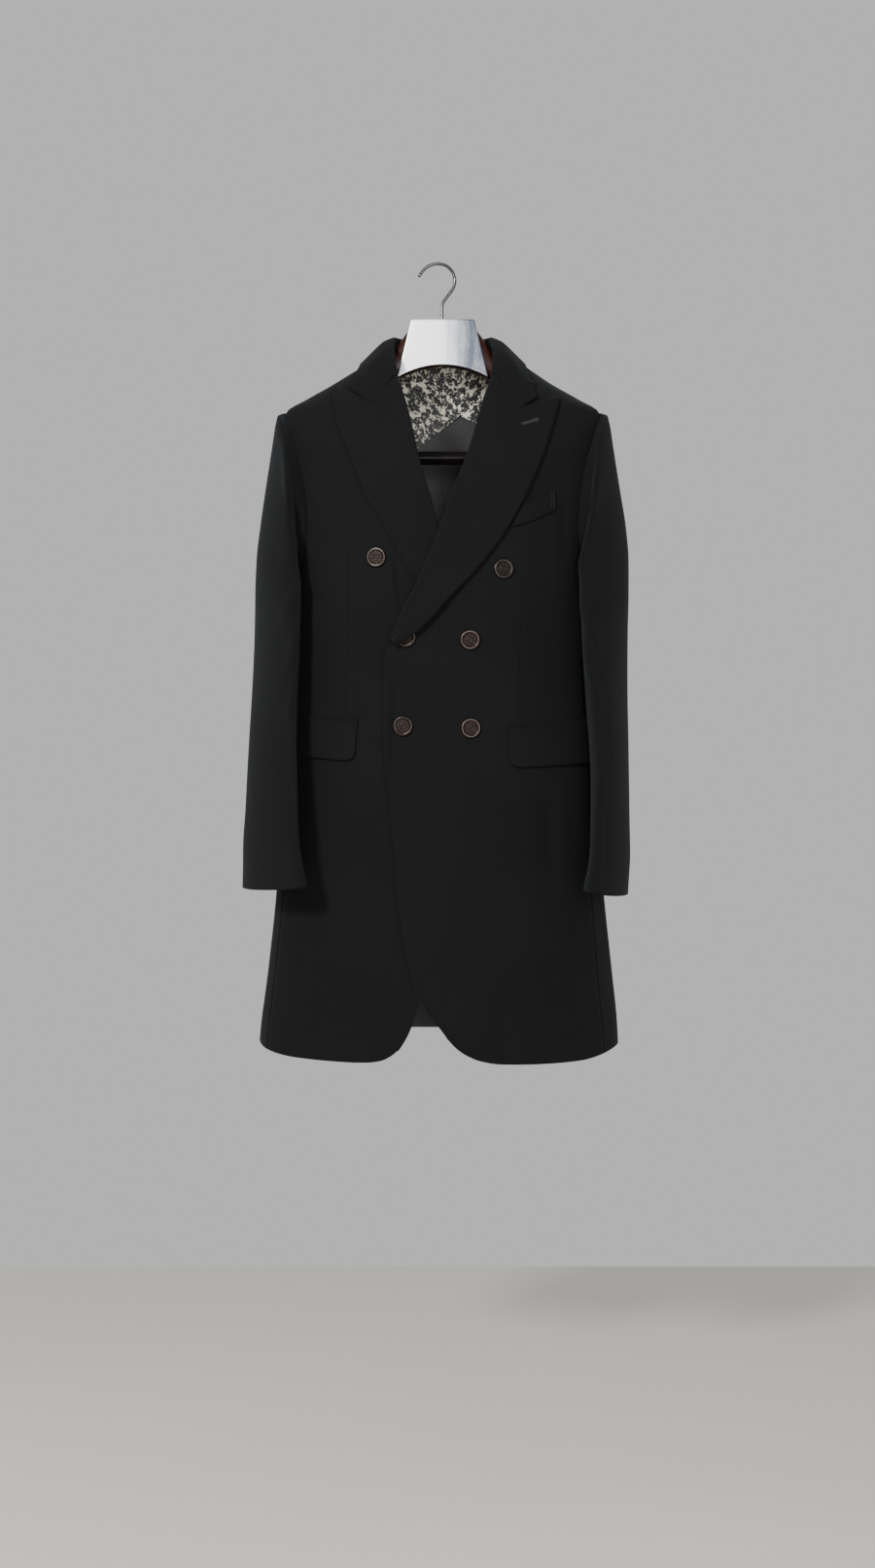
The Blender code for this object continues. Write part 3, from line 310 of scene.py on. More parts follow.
# The yoke's lower edge, by the distance from the coat's centre
YOKE_EDGE = ((-0.1900, -0.3250), (-0.0900, -0.2793), (-0.0378, -0.2410), (0.0266, -0.1937),
             (0.0498, -0.2058), (0.1900, -0.2900))
YOKE_TOP = -0.1275
YOKE_EDGE_LEVEL = -0.2200

NECK_TOP = -0.1290
BACK_NECK_TOP = -0.1243
SKIRT_LEVELS = (-0.4730, -0.5050, -0.5265, -0.5550, -0.6000, -0.6500, -0.7100,
                -0.7800, -0.8500, -0.9200)
KNEE = -0.9200
CENTRE_SEAM_ANGLE = 0.035
SEAM_ANGLE = 0.11
RIDGE_ANGLE = 0.15
# How far a rim stands out of its grid, in walls: pressed together in a seam, rounded if free
SEAM_REACH = 0.62
EDGE_REACH = 0.45
ROLL_GAP = 0.0009
ROLL_FADE = 0.012

# Rows and columns of the fine grids
FRONT_GRID = (196, 104)
FRONT_LOW_ROWS = 52
SIDE_GRID = (190, 42)
BACK_GRID = (180, 74)
BACK_LOW_ROWS = 40
LAPEL_GRID = (150, 60)
LAPEL_TURN_COLUMNS = 14
COLLAR_GRID = (82, 54)
SLEEVE_CAP_ROWS = 9
SLEEVE_ROWS = 181
JET_GRID = (8, 90)
FLAP_GRID = (34, 96)
WELT_GRID = (34, 50)
YOKE_ROWS = 50
YOKE_COLUMNS = (60, 50)

# Waves of the skirt: share of the depth, waves once round, start in radians
SKIRT_WAVES = ((0.60, 4.0, 0.9), (0.40, 7.0, 2.1))
WAVE_DEPTH = 0.0065
WAVE_TOP = -0.62
WAVE_FULL = -1.08
WAVE_ANGLE = 42.0

# Soft creases of the body: from one end to the other, ridges above 0, troughs below.
# bow is how many degrees the crease bends aside at its middle.
BODY_CREASES = (
    # angle, height, angle, height, bow, width, depth
    (-15.1, -560, -15.6, -770, 0, 4.5, -2.6), (-18, -570, -18.2, -740, 0, 5, 0.9),
    (-13.6, -755, -7, -1010, 0.8, 6.5, -1.7), (-16.5, -400, -13, -500, 1.2, 2.8, -4),
    (-10, -665, -5.5, -820, 0.6, 11, -1.3), (10, -665, 13.5, -800, -0.8, 13, -1.1),
    (2, -560, 1, -640, 0.5, 10, -0.9), (40.8, -715, 41.8, -870, 1, 14, -2.4),
    (47.5, -730, 46, -900, 0, 11, 1.3), (19, -990, 19.6, -1094, 0.5, 8.5, -2),
    (-38.5, -965, -36.5, -1065, 0, 12, -1.8), (-28, -840, -30, -1000, 1, 18, 1.2),
    (30, -840, 31, -1060, -1.5, 20, 1.4), (-49, -235, -51, -370, 1.5, 13, -2.6),
    (-42, -250, -40, -340, 0, 14, 1.2), (50.5, -300, 53, -430, -1, 12, -2.2),
    (17, -458, 8.6, -495, 0, 8.5, 1.7), (27, -470, 15, -520, 1, 10, -1.1),
    (-30, -440, -22, -520, 1, 12, -1.2), (60, -440, 66, -560, 1, 13, -2),
    (-61, -450, -66, -570, -1, 13, -2.2), (60.5, -900, 59, -1080, 1.5, 14, -2),
    (82, -460, 96, -520, 2, 12, -2.6), (-84, -480, -98, -545, -2, 12, -2.4),
    (86, -780, 92, -1060, 1, 18, 2.2), (-93, -800, -88, -1055, 1, 18, -2.4),
    (150, -250, 158, -460, 3, 16, -3.2), (-152, -270, -145, -440, 2, 14, -2.6),
    (131, -280, 127, -400, 1, 13, -2.2), (-129, -300, -126, -410, 1, 12, -2),
    (-168, -500, -140, -560, 1, 12, -2.2), (168, -520, 143, -600, 1, 11.5, -2),
    (-172, -580, -152, -615, 1, 10, 1.4), (140, -720, 147, -1060, 2, 20, -4.2),
    (-137, -760, -133, -1062, -2, 18, -3.6), (-158, -850, -161, -1060, 1, 17, 2.4),
    (161, -800, 164, -1060, 1, 16, 2), (122, -820, 124, -1064, 0, 15, 2.2),
)
# Metres to a degree round the coat, for the creases' widths
BODY_DEGREE = 0.0030

# Soft creases of each sleeve: from one turn and ring to another
SLEEVE_CREASES = {
    # turn, ring, turn, ring, bow, width, depth
    "right": (
        (55, 1.2, 72, 3.6, 4, 12, -2.8), (96, 1.6, 101, 4.6, 2, 7.5, -3.4),
        (110, 5, 66, 7.6, 6, 11, -3), (116, 6.6, 72, 9.2, 5, 12, -2.8),
        (112, 8.4, 76, 10.6, 4, 10, -2), (82, 3, 86, 7, 3, 16, 2.4),
        (78, 8, 74, 13.5, 2, 18, 1.6), (97, 12.2, 95, 13.8, 1, 5.5, -2),
        (230, 5.4, 280, 7.4, 6, 12, -3.2), (236, 7.2, 288, 9, 6, 11, -3),
        (240, 9.2, 282, 10.6, 4, 11, -2.2), (330, 2, 318, 5.4, 4, 16, -2.6),
        (300, 10.5, 310, 14, 3, 16, 1.8),
    ),
    "left": (
        (50, 1, 66, 3.9, 4, 12, -2.4), (92, 1.8, 98, 5.2, 2, 8.5, -3.2),
        (104, 4.6, 62, 7.2, 6, 12, -2.6), (112, 6.2, 70, 8.4, 5, 10, -3.2),
        (114, 8, 80, 9.9, 4, 9.5, -2.4), (78, 3.4, 82, 6.4, 3, 15, 2.2),
        (72, 8.6, 68, 14, 2, 17, 1.8), (84, 13, 80, 14.8, 1, 8, -1.6),
        (232, 5.8, 276, 7.8, 6, 12, -3), (238, 7.8, 284, 9.4, 5, 12, -3.2),
        (326, 2.4, 312, 5, 4, 15, -2.4), (296, 10.8, 306, 14.2, 3, 17, 2),
    ),
}
SLEEVE_DEGREE = 0.0011
SLEEVE_STEP = 0.048
# A crease fades towards its ends, from this share in
CREASE_END = 0.06
CREASE_FULLNESS = 0.8

# The darts of the fronts: reach and height at their two ends
DARTS = {"left": ((0.1068, -0.4430), (0.1010, -0.6380)),
         "right": ((0.1262, -0.4040), (0.1307, -0.6290))}


def ease(start, end, value):
    """Smooth step from 0 at start to 1 at end."""
    t = np.clip((value - start) / (end - start), 0.0, 1.0)
    return t * t * (3.0 - 2.0 * t)


def mix(a, b, share):
    """Value a share of the way from a to b."""
    return a + (b - a) * share


def bell(value, middle, width):
    """A soft bump of height 1 at its middle."""
    return np.exp(-((value - middle) / width) ** 2)


def unit(vectors):
    """Vectors of length one."""
    return vectors / np.maximum(np.linalg.norm(vectors, axis=-1, keepdims=True), 1e-12)


def vector(x, y, z):
    """A point or a direction."""
    return np.array((x, y, z), dtype=float)


CENTRED = vector(COAT_CENTRE, 0.0, 0.0)


def lengths_along(steps):
    """Running total of the steps, from 0."""
    return np.concatenate(([0.0], np.cumsum(steps)))


def crease_field(creases, across, down, degree, step):
    """Height that a list of creases adds at places given by two coordinates."""
    total = np.zeros(np.broadcast(across, down).shape)
    for across_a, down_a, across_b, down_b, bow, width, depth in creases:
        run_across = (across_b - across_a) * degree
        run_down = (down_b - down_a) * step
        length = math.hypot(run_across, run_down)
        from_across = (across - across_a) * degree
        from_down = (down - down_a) * step
        along = (from_across * run_across + from_down * run_down) / length ** 2
        inside = np.clip(along, 0.0, 1.0)
        aside = (from_across * run_down - from_down * run_across) / length
        aside = aside - 4.0 * inside * (1.0 - inside) * bow * degree
        past = (along - inside) * length
        fade = np.sin(math.pi * mix(CREASE_END, 1.0 - CREASE_END, inside)) ** CREASE_FULLNESS
        near = np.exp(-(aside ** 2 + past ** 2) / (width / PER_METRE) ** 2)
        total += depth / PER_METRE * fade * near
    return total * sizes().crease_share


# The coat's surface

def drape(angle, height):
    """Soft waves of the skirt, none at centre front, growing towards the hem."""
    turn = np.radians(angle)
    away = 1.0 - bell(angle, 0.0, WAVE_ANGLE)
    wave = sum(share * np.sin(count * turn + start) for share, count, start in SKIRT_WAVES)
    return WAVE_DEPTH * ease(WAVE_TOP, WAVE_FULL, height) * away * wave


def squared(value, squareness):
    """A sine or cosine drawn out towards the corners of its ring."""
    return np.sign(value) * np.abs(value) ** (2.0 / squareness)


def body_point(angle, height):
    """Points of the plain ring at angles and heights."""
    row = BODY.rows_at(height)
    turn = np.radians(angle)
    ahead = np.cos(turn)
    depth = np.where(ahead >= 0.0, row[..., 3], row[..., 4])
    x = row[..., 1] + row[..., 2] * squared(np.sin(turn), SQUARENESS)
    y = -depth * squared(ahead, SQUARENESS)
    return np.stack(np.broadcast_arrays(x, y, height), axis=-1)


# How far to each side the surface's direction is read
NORMAL_TURN = 0.4
NORMAL_RISE = 0.001


def body_normal(angle, height):
    """Outward direction of the coat's surface."""
    around = body_point(angle + NORMAL_TURN, height) - body_point(angle - NORMAL_TURN, height)
    down = body_point(angle, height - NORMAL_RISE) - body_point(angle, height + NORMAL_RISE)
    return unit(np.cross(down, around))


def on_body(angle, height, lift=0.0):
    """Points on the coat, lifted off its creased outer surface."""
    angle, height, lift = np.broadcast_arrays(
        *(np.asarray(values, float) for values in (angle, height, lift)))
    creases = crease_field(BODY_CREASES, angle, height * PER_METRE, BODY_DEGREE, 1.0 / PER_METRE)
    rise = lift + drape(angle, height) + creases
    return body_point(angle, height) + body_normal(angle, height) * rise[..., None]


def angle_at(x, height):
    """Angle, in front, of the point at x on the coat's surface."""
    row = BODY.rows_at(height)
    reach = (x - row[..., 1]) / row[..., 2]
    share = np.minimum(np.abs(reach), 1.0) ** (SQUARENESS / 2.0)
    return np.sign(reach) * np.degrees(np.arcsin(share))


def front_lift(side, x, height):
    """How far a front's middle surface lies off the coat's outer surface."""
    if side == "right":
        return 0.0 * x - CLOTH / 2.0
    lapped = ease(LAP_START, LAP_FULL, x)
    return lapped * (LAP_LIFT + LAPEL_BENEATH.at("lift", height)) - CLOTH / 2.0


def over_front(side, x, height, lift):
    """Points over a front, by x, height and lift from that front's middle."""
    return on_body(angle_at(x, height), height, lift + front_lift(side, x, height))


def hem_height(angle):
    """Height of the lower edge, a little lower on the left."""
    return HEM.at("height", np.abs(angle)) - HEM_TILT * np.sin(np.radians(angle))


def armhole_angle(height, behind):
    """Angle of the armhole's front or back edge at a height, positive."""
    ends = (ARMHOLE_BACK_START, 360.0) if behind else (ARMHOLE_FRONT_END, 0.0)
    turns = np.linspace(*ends, 60)
    return np.interp(height, ARMHOLE.at("height", turns), ARMHOLE.at("angle", turns))


def spaced(count, near=0.004):
    """Shares from 0 to 1, close together at both ends where the seams are."""
    ends = near * np.array((0.0, 0.35, 0.8, 1.4, 2.2, 3.2))
    first = ends[-1] * 1.3
    middle = np.linspace(first, 1.0 - first, count - 2 * len(ends))
    return np.concatenate((ends, middle, 1.0 - ends[::-1]))


# Fronts, side panels and backs

def front_edge_x(side, height):
    """Reach of the front's own cut edge, which stops short of the lapel's roll."""
    fade = ease(BREAK_HEIGHT - ROLL_FADE, BREAK_HEIGHT, height)
    roll = LAPEL_ROLL[side].at("radius", height) + ROLL_GAP
    return FRONT_EDGE[side].at("reach", height) + fade * roll


def outer_angle(height, behind):
    """Angle of a front's or back's outer boundary: shoulder seam, armhole, then side seam."""
    name, outward = ("back", 1.0) if behind else ("front", -1.0)
    below = np.where(height >= ARMHOLE_FOOT, armhole_angle(height, behind),
                     SIDE_SEAMS.at(name, height)) + outward * SEAM_ANGLE
    return np.where(height >= TIP_HEIGHT, 90.0 + outward * RIDGE_ANGLE, below)


def front_grid(side):
    """Fine grid of a front, from its free edge outwards."""
    sign = SIDES[side]
    share = spaced(FRONT_GRID[1])[None, :]

    def angles(height, edge_height):
        """Angles of points at a height, in a row that starts at the free edge's height."""
        inner = angle_at(sign * front_edge_x(side, edge_height), edge_height)
        return mix(inner, sign * outer_angle(height, False), share)

    height = np.linspace(NECK_TOP, KNEE, FRONT_GRID[0])[:, None] + 0.0 * share
    corner_height = CORNER_HEIGHT[side]
    corner_reach = float(front_edge_x(side, corner_height))
    corner_angle = float(angle_at(sign * corner_reach, corner_height))
    down = np.linspace(0.0, 1.0, FRONT_LOW_ROWS + 1)[1:, None]
    foot_angle = mix(corner_angle, sign * float(SIDE_SEAMS.at("front", SEAM_FOOT)), share)
    across = sign * body_point(foot_angle, np.full_like(foot_angle, corner_height))[..., 0]
    foot = hem_height(foot_angle) + CORNER_RISE[side].at("rise", across - corner_reach)
    foot[:, 0] = corner_height
    low_height = mix(KNEE, foot, down)
    angle = np.concatenate((angles(height, height),
                            angles(low_height, mix(KNEE, corner_height, down))))
    height = np.concatenate((height, low_height))
    x = body_point(angle, height)[..., 0]
    return on_body(angle, height, front_lift(side, x, height))


def side_grid(side):
    """Fine grid of the narrow panel under the arm."""
    sign = SIDES[side]
    columns = []
    for share in spaced(SIDE_GRID[1], near=0.012):
        turn = mix(ARMHOLE_FRONT_END, ARMHOLE_BACK_START, share)
        top = float(ARMHOLE.at("height", turn))
        foot = float(hem_height(sign * mix(*SIDE_FOOT_ANGLES, share)))
        start = mix(top, SKIRT_LEVELS[0], 0.5)
        levels = (top, start, *SKIRT_LEVELS, foot)
        places = np.linspace(0.0, len(levels) - 1.0, SIDE_GRID[0])
        height = np.interp(places, np.arange(len(levels)), levels)
        seams = SIDE_SEAMS.rows_at(height)
        angle = mix(seams[:, 1] + SEAM_ANGLE, seams[:, 2] - SEAM_ANGLE, share)
        if 0.0 < share < 1.0:
            at_top = np.clip((height - start) / (top - start), 0.0, 1.0)
            angle = mix(angle, float(ARMHOLE.at("angle", turn)), at_top)
        columns.append((sign * angle, height))
    angle, height = np.array(columns).transpose(1, 2, 0)
    return on_body(angle, height, -CLOTH / 2.0)


def back_grid(side):
    """Fine grid of a back, from the centre seam outwards, with the vent's lap below."""
    sign = SIDES[side]
    columns = []
    for share in spaced(BACK_GRID[1]):
        foot = float(hem_height(sign * mix(180.0, SIDE_FOOT_ANGLES[1], share)))
        height = np.concatenate((np.linspace(BACK_NECK_TOP, KNEE, BACK_GRID[0]),
                                 np.linspace(KNEE, foot, BACK_LOW_ROWS + 1)[1:]))
        centre = np.full_like(height, 180.0 - CENTRE_SEAM_ANGLE)
        sink = np.zeros_like(height)
        if side == "right":
            centre += ease(VENT_TOP, VENT_TOP - VENT_TURN_LENGTH, height) * VENT_LAP_ANGLE
            sink = VENT_SINK * ease(VENT_TOP + VENT_SINK_LENGTH, VENT_TOP, height)
        angle = mix(centre, outer_angle(height, True), share)
        columns.append((sign * angle, height, sink * ease(*VENT_SINK_ANGLES, angle)))
    angle, height, sink = np.array(columns).transpose(1, 2, 0)
    return on_body(angle, height, -CLOTH / 2.0 - sink)


# Lapels and collar

def lapel_grid(side, levels=None, turns=None, shares=None):
    """Fine grid of a lapel: a turn out of the front's edge, then across to its outer edge."""
    sign = SIDES[side]
    levels = np.linspace(LAPEL_TOP, LAPEL_FOOT, LAPEL_GRID[0]) if levels is None else levels
    turns = np.linspace(0.0, 180.0, LAPEL_TURN_COLUMNS) if turns is None else turns
    shares = spaced(LAPEL_GRID[1], near=0.006)[1:] if shares is None else shares
    edge = LAPEL_EDGE[side]
    edge_end, peak = edge.keys[0], edge.keys[-1]
    notch_reach, notch_height = NOTCH[side]
    top_roll = float(FRONT_EDGE[side].at("reach", LAPEL_TOP))
    top_peak = float(edge.at("reach", peak))
    roll_height = np.asarray(levels)[:, None]
    down = (roll_height - LAPEL_TOP) / (LAPEL_FOOT - LAPEL_TOP)
    edge_height = mix(peak, edge_end, down)
    roll_reach = FRONT_EDGE[side].at("reach", roll_height)
    radius, rest = (LAPEL_ROLL[side].at(name, roll_height) for name in ("radius", "rest"))
    edge_reach = np.maximum(edge.at("reach", edge_height),
                            roll_reach + radius + LAPEL_LEAST_WIDTH)
    out = np.radians(np.asarray(turns))[None, :]
    reach = roll_reach + radius * (1.0 - np.sin(out))
    lift = radius * (1.0 - np.cos(out))
    turned = over_front(side, sign * reach, roll_height + 0.0 * reach, lift)
    share = np.asarray(shares)[None, :]
    part = np.where(share <= NOTCH_SHARE, share / NOTCH_SHARE,
                    (1.0 - share) / (1.0 - NOTCH_SHARE))
    pull = (1.0 - down) ** 3 * part
    blunt = PEAK_BLUNT * ease(PEAK_SHARE, 1.0, share) * ease(PEAK_DOWN, 0.0, down)
    reach = (mix(roll_reach + radius, edge_reach, share) - blunt
             + pull * (notch_reach - mix(top_roll, top_peak, NOTCH_SHARE)))
    height = (mix(roll_height, edge_height, share) - blunt
              + pull * (notch_height - mix(LAPEL_TOP, peak, NOTCH_SHARE)))
    lift = mix(2.0 * radius, rest, ease(0.0, 0.5, share))
    return np.concatenate((turned, over_front(side, sign * reach, height, lift)), axis=1)


def clear_of_front(points, side, clearance):
    """Points moved forwards off a front, where they lie too near or behind it."""
    x, y, z = points[..., 0], points[..., 1], points[..., 2]
    beside = (y > 0.0) | (np.abs(x) > SHOULDER_SHARE * BODY.at("half_width", z))
    surface = over_front(side, x, z, clearance)
    behind = (y > surface[..., 1]) & ~beside
    return np.where(behind[..., None], surface, points)


def collar_knots(share, side):
    """Points across the collar at each share: stand, roll and leaf."""
    rows = COLLAR.rows_at(share)
    neck, roll, leaf, edge = (rows[..., first:first + 3] for first in (1, 4, 7, 10))
    outward = unit((leaf - roll) * vector(1.0, 1.0, 0.0))
    up = vector(0.0, 0.0, 1.0)
    shoulder = roll + outward * COLLAR_SHOULDER - up * COLLAR_SHOULDER_DROP
    crown = mix(shoulder, leaf, 0.5) + up * COLLAR_CROWN
    knots = np.stack((neck, mix(neck, roll, COLLAR_STAND), roll, shoulder, crown, leaf,
                      mix(leaf, edge, 0.5), edge), axis=-2)
    return mirrored(knots, side)


def gorge_row(side):
    """The collar's front end: along the gorge to the notch, then out to its corner."""
    along = lapel_grid(side, [LAPEL_TOP], GORGE_TURNS, (GORGE_SHARE, NOTCH_SHARE))[0]
    along = along + vector(0.0, 0.0, GORGE_GAP)
    reach, height = COLLAR_CORNER[side]
    rest = float(LAPEL_ROLL[side].at("rest", height))
    corner = over_front(side, np.array([SIDES[side] * reach]), np.array([height]), rest)
    return np.concatenate((along, mix(along[-1:], corner, 0.5), corner))


def collar_grid():
    """Fine grid of the collar, once round from the right gorge to the left one."""
    halves = {}
    share = np.linspace(0.0, 1.0, COLLAR_GRID[0])
    blend = ease(COLLAR_FRONT_START, 1.0, share)[:, None, None]
    for side in SIDES:
        moves = gorge_row(side) - collar_knots(np.array(1.0), side)
        knots = collar_knots(share, side) + moves * blend
        cleared = clear_of_front(knots, side, CLOTH + COLLAR_GAP)
        loose = (np.arange(knots.shape[1]) > 2)[None, :, None] & (share < 0.999)[:, None, None]
        halves[side] = np.where(loose, cleared, knots)
    knots = np.concatenate((halves["right"][::-1], halves["left"][1:]))
    places = lengths_along(np.linalg.norm(np.diff(knots, axis=1), axis=-1).mean(axis=0))
    wanted = spaced(COLLAR_GRID[1], near=0.008) * places[-1]
    return np.swapaxes(curve_through(places, np.swapaxes(knots, 0, 1), wanted), 0, 1)


# Sleeves

def sleeve_rings(side, turns):
    """Rings of a sleeve's points: turn 0 at its outer side, 90 in front, 180 inside."""
    around = turns % 360.0
    edge = on_body(ARMHOLE.at("angle", around), ARMHOLE.at("height", around), -CLOTH / 2.0)
    inward = (vector(0.0, 0.0, ARMHOLE_MIDDLE) - edge) * vector(0.0, 1.0, 1.0)
    seam = edge + unit(inward) * CAP_INSET + vector(CAP_OUTSET, 0.0, 0.0)
    ring = np.arange(1.0, SLEEVE_RINGS + 1.0)[:, None]
    size = SLEEVE.rows_at(ring)
    down = ease(SLEEVE_HANG_START, float(SLEEVE_RINGS), ring)
    lean = SLEEVE_LEAN[side] * down
    drop = SLEEVE_DROP[side] * down
    outer = np.stack((size[..., 1] + lean, size[..., 5], size[..., 2] - drop), axis=-1)
    inner = np.stack((size[..., 3] + lean, size[..., 5], size[..., 4] - drop), axis=-1)
    radians = np.radians(turns)[None, :]
    ahead = np.sin(radians)
    points = (outer + inner) / 2.0 + (outer - inner) / 2.0 * np.cos(radians)[..., None]
    twist, pull = (SLEEVE.at(f"{name}_{side}", ring) for name in ("turn", "pull"))
    points[..., 1] -= size[..., 6] * ahead
    points[..., 0] += twist * ahead + pull * ahead ** 2
    return np.concatenate((seam[None], points))


def sleeve_grid(side, first, last, columns):
    """Fine grid of one of a sleeve's two pieces, with its creases, between two seams."""
    turns = mix(first, last, spaced(columns, near=0.005))
    places = np.concatenate((np.linspace(0.0, 1.0, SLEEVE_CAP_ROWS + 1)[:-1],
                             np.linspace(1.0, SLEEVE_RINGS, SLEEVE_ROWS)))
    grid = curve_through(np.arange(SLEEVE_RINGS + 1.0), sleeve_rings(side, turns), places)
    around = np.roll(grid, -1, 1) - np.roll(grid, 1, 1)
    around[:, 0] = grid[:, 1] - grid[:, 0]
    around[:, -1] = grid[:, -1] - grid[:, -2]
    normal = unit(np.cross(np.gradient(grid, axis=0), around))
    turn = turns[None, :] % 360.0 + 0.0 * places[:, None]
    creases = crease_field(SLEEVE_CREASES[side], turn, places[:, None], SLEEVE_DEGREE,
                           SLEEVE_STEP)
    fade = ease(0.0, 0.8, places)[:, None]
    return mirrored(grid + normal * (creases * fade)[..., None], side)


def mirrored(grid, side):
    """A left-hand grid set on its own side."""
    return grid * vector(SIDES[side], 1.0, 1.0)


# Pockets

def pocket_point(side, share, drop, lift):
    """Points along a pocket's mouth and down from it, lifted off its front."""
    pocket = POCKETS[side]
    sign = SIDES[side]
    near = float(angle_at(sign * pocket["near_x"], pocket["near_z"]))
    angle = mix(near, sign * pocket["far_angle"], share)
    height = mix(pocket["near_z"], pocket["far_z"], share) - drop
    angle, height = np.broadcast_arrays(angle, height)
    x = body_point(angle, height)[..., 0]
    covered = ease(*POCKET_LEAVE_ANGLES, np.abs(angle))
    under = mix(front_lift(side, x, height), -CLOTH / 2.0, covered) + CLOTH / 2.0
    return on_body(angle, height, under + lift)


def jet_grid(side):
    """Fine grid of the narrow strip over a pocket's mouth."""
    share = np.linspace(0.0, 1.0, JET_GRID[1])[None, :]
    drop = JET_HEIGHT * np.linspace(0.0, 1.0, JET_GRID[0])[:, None]
    swell = JET_SWELL * np.sin(math.pi * drop / JET_HEIGHT)
    return pocket_point(side, share, drop, SEAM_GAP + JET_WALL / 2.0 + JET_CLEARANCE + swell)


def flap_grid(side):
    """Fine grid of a pocket flap with its rounded corners."""
    share = spaced(FLAP_GRID[1], near=0.008)[None, :]
    part = spaced(FLAP_GRID[0], near=0.012)[:, None]
    rounded = np.zeros(share.shape)
    for end in (share, 1.0 - share):
        along = np.minimum(end * FLAP_MOUTH, FLAP_CORNER)
        rounded += FLAP_CORNER - np.sqrt(FLAP_CORNER ** 2 - (FLAP_CORNER - along) ** 2)
    drop = JET_HEIGHT + SEAM_GAP + part * (FLAP_DEPTH - rounded)
    lift = SEAM_GAP + CLOTH / 2.0 + FLAP_CLEARANCE + FLAP_FLARE * part ** 2
    return pocket_point(side, share, drop, lift)


def welt_grid():
    """Fine grid of the breast welt."""
    share = spaced(WELT_GRID[1], near=0.012)[None, :]
    part = spaced(WELT_GRID[0], near=0.016)[:, None]
    upper, lower = (mix(*np.array(WELT[name]), share[..., None]) for name in ("upper", "lower"))
    place = mix(upper, lower, part[..., None])
    height = place[..., 1] - WELT_BOW * np.sin(math.pi * share)
    return over_front("left", place[..., 0], height, CLOTH + 2.0 * SEAM_GAP)


def yoke_grid():
    """Fine grid of the patterned lining inside the back of the neck."""
    acrosses, heights = zip(*YOKE_EDGE)
    peak = max(YOKE_EDGE, key=lambda place: place[1])[0]
    across = np.concatenate((np.linspace(acrosses[0], peak, YOKE_COLUMNS[0]),
                             np.linspace(peak, acrosses[-1], YOKE_COLUMNS[1])[1:]))
    angle = 180.0 - angle_at(across, np.full_like(across, YOKE_EDGE_LEVEL))[None, :]
    part = spaced(YOKE_ROWS, near=0.01)[:, None]
    gap = mix(YOKE_SEAM_GAP, YOKE_GAP, ease(0.0, 0.2, part))
    foot = np.interp(across, acrosses, heights)[None, :]
    return on_body(angle, mix(YOKE_TOP, foot, part), -CLOTH - gap - LINING / 2.0)


# Meshes

def sizes():
    """The sizes that the sidebar shows."""
    return bpy.context.scene.overcoat_sizes


def colours():
    """The colours that the sidebar shows."""
    return bpy.context.scene.overcoat_colours


def edge_distances(grid):
    """Distance of each point from the grid's top, bottom, first and last edge."""
    found = {}
    for axis, (start, end) in enumerate((("top", "foot"), ("first", "last"))):
        steps = np.linalg.norm(np.diff(grid, axis=axis), axis=-1)
        away = np.cumsum(np.insert(steps, 0, 0.0, axis=axis), axis=axis)
        found[start] = away
        found[end] = np.take(away, [-1], axis=axis) - away
    return found


def grid_normals(grid, outward):
    """Unit normals of a grid, on the side that faces outward, and their sign."""
    normals = unit(np.cross(np.gradient(grid, axis=0), np.gradient(grid, axis=1)))
    middle = normals[grid.shape[0] // 2, grid.shape[1] // 2]
    sign = 1.0 if float(np.dot(middle, outward)) >= 0.0 else -1.0
    return normals * sign, sign


def raised(grid, outward, rise):
    """A grid raised off itself by a little at each point."""
    return grid + grid_normals(grid, outward)[0] * rise[..., None]


SEAM_DITCH_WIDTH = 0.0014
SEAM_SWELL_PLACE = 0.0055
SEAM_SWELL_WIDTH = 0.0035


def seam_rise(seams, distance):
    """How far the cloth sinks along its sewn edges, with the soft swell beside each."""
    size = sizes()
    return sum(size.seam_swell * bell(distance[edge], SEAM_SWELL_PLACE, SEAM_SWELL_WIDTH)
               - size.seam_ditch * bell(distance[edge], 0.0, SEAM_DITCH_WIDTH)
               for edge in seams)


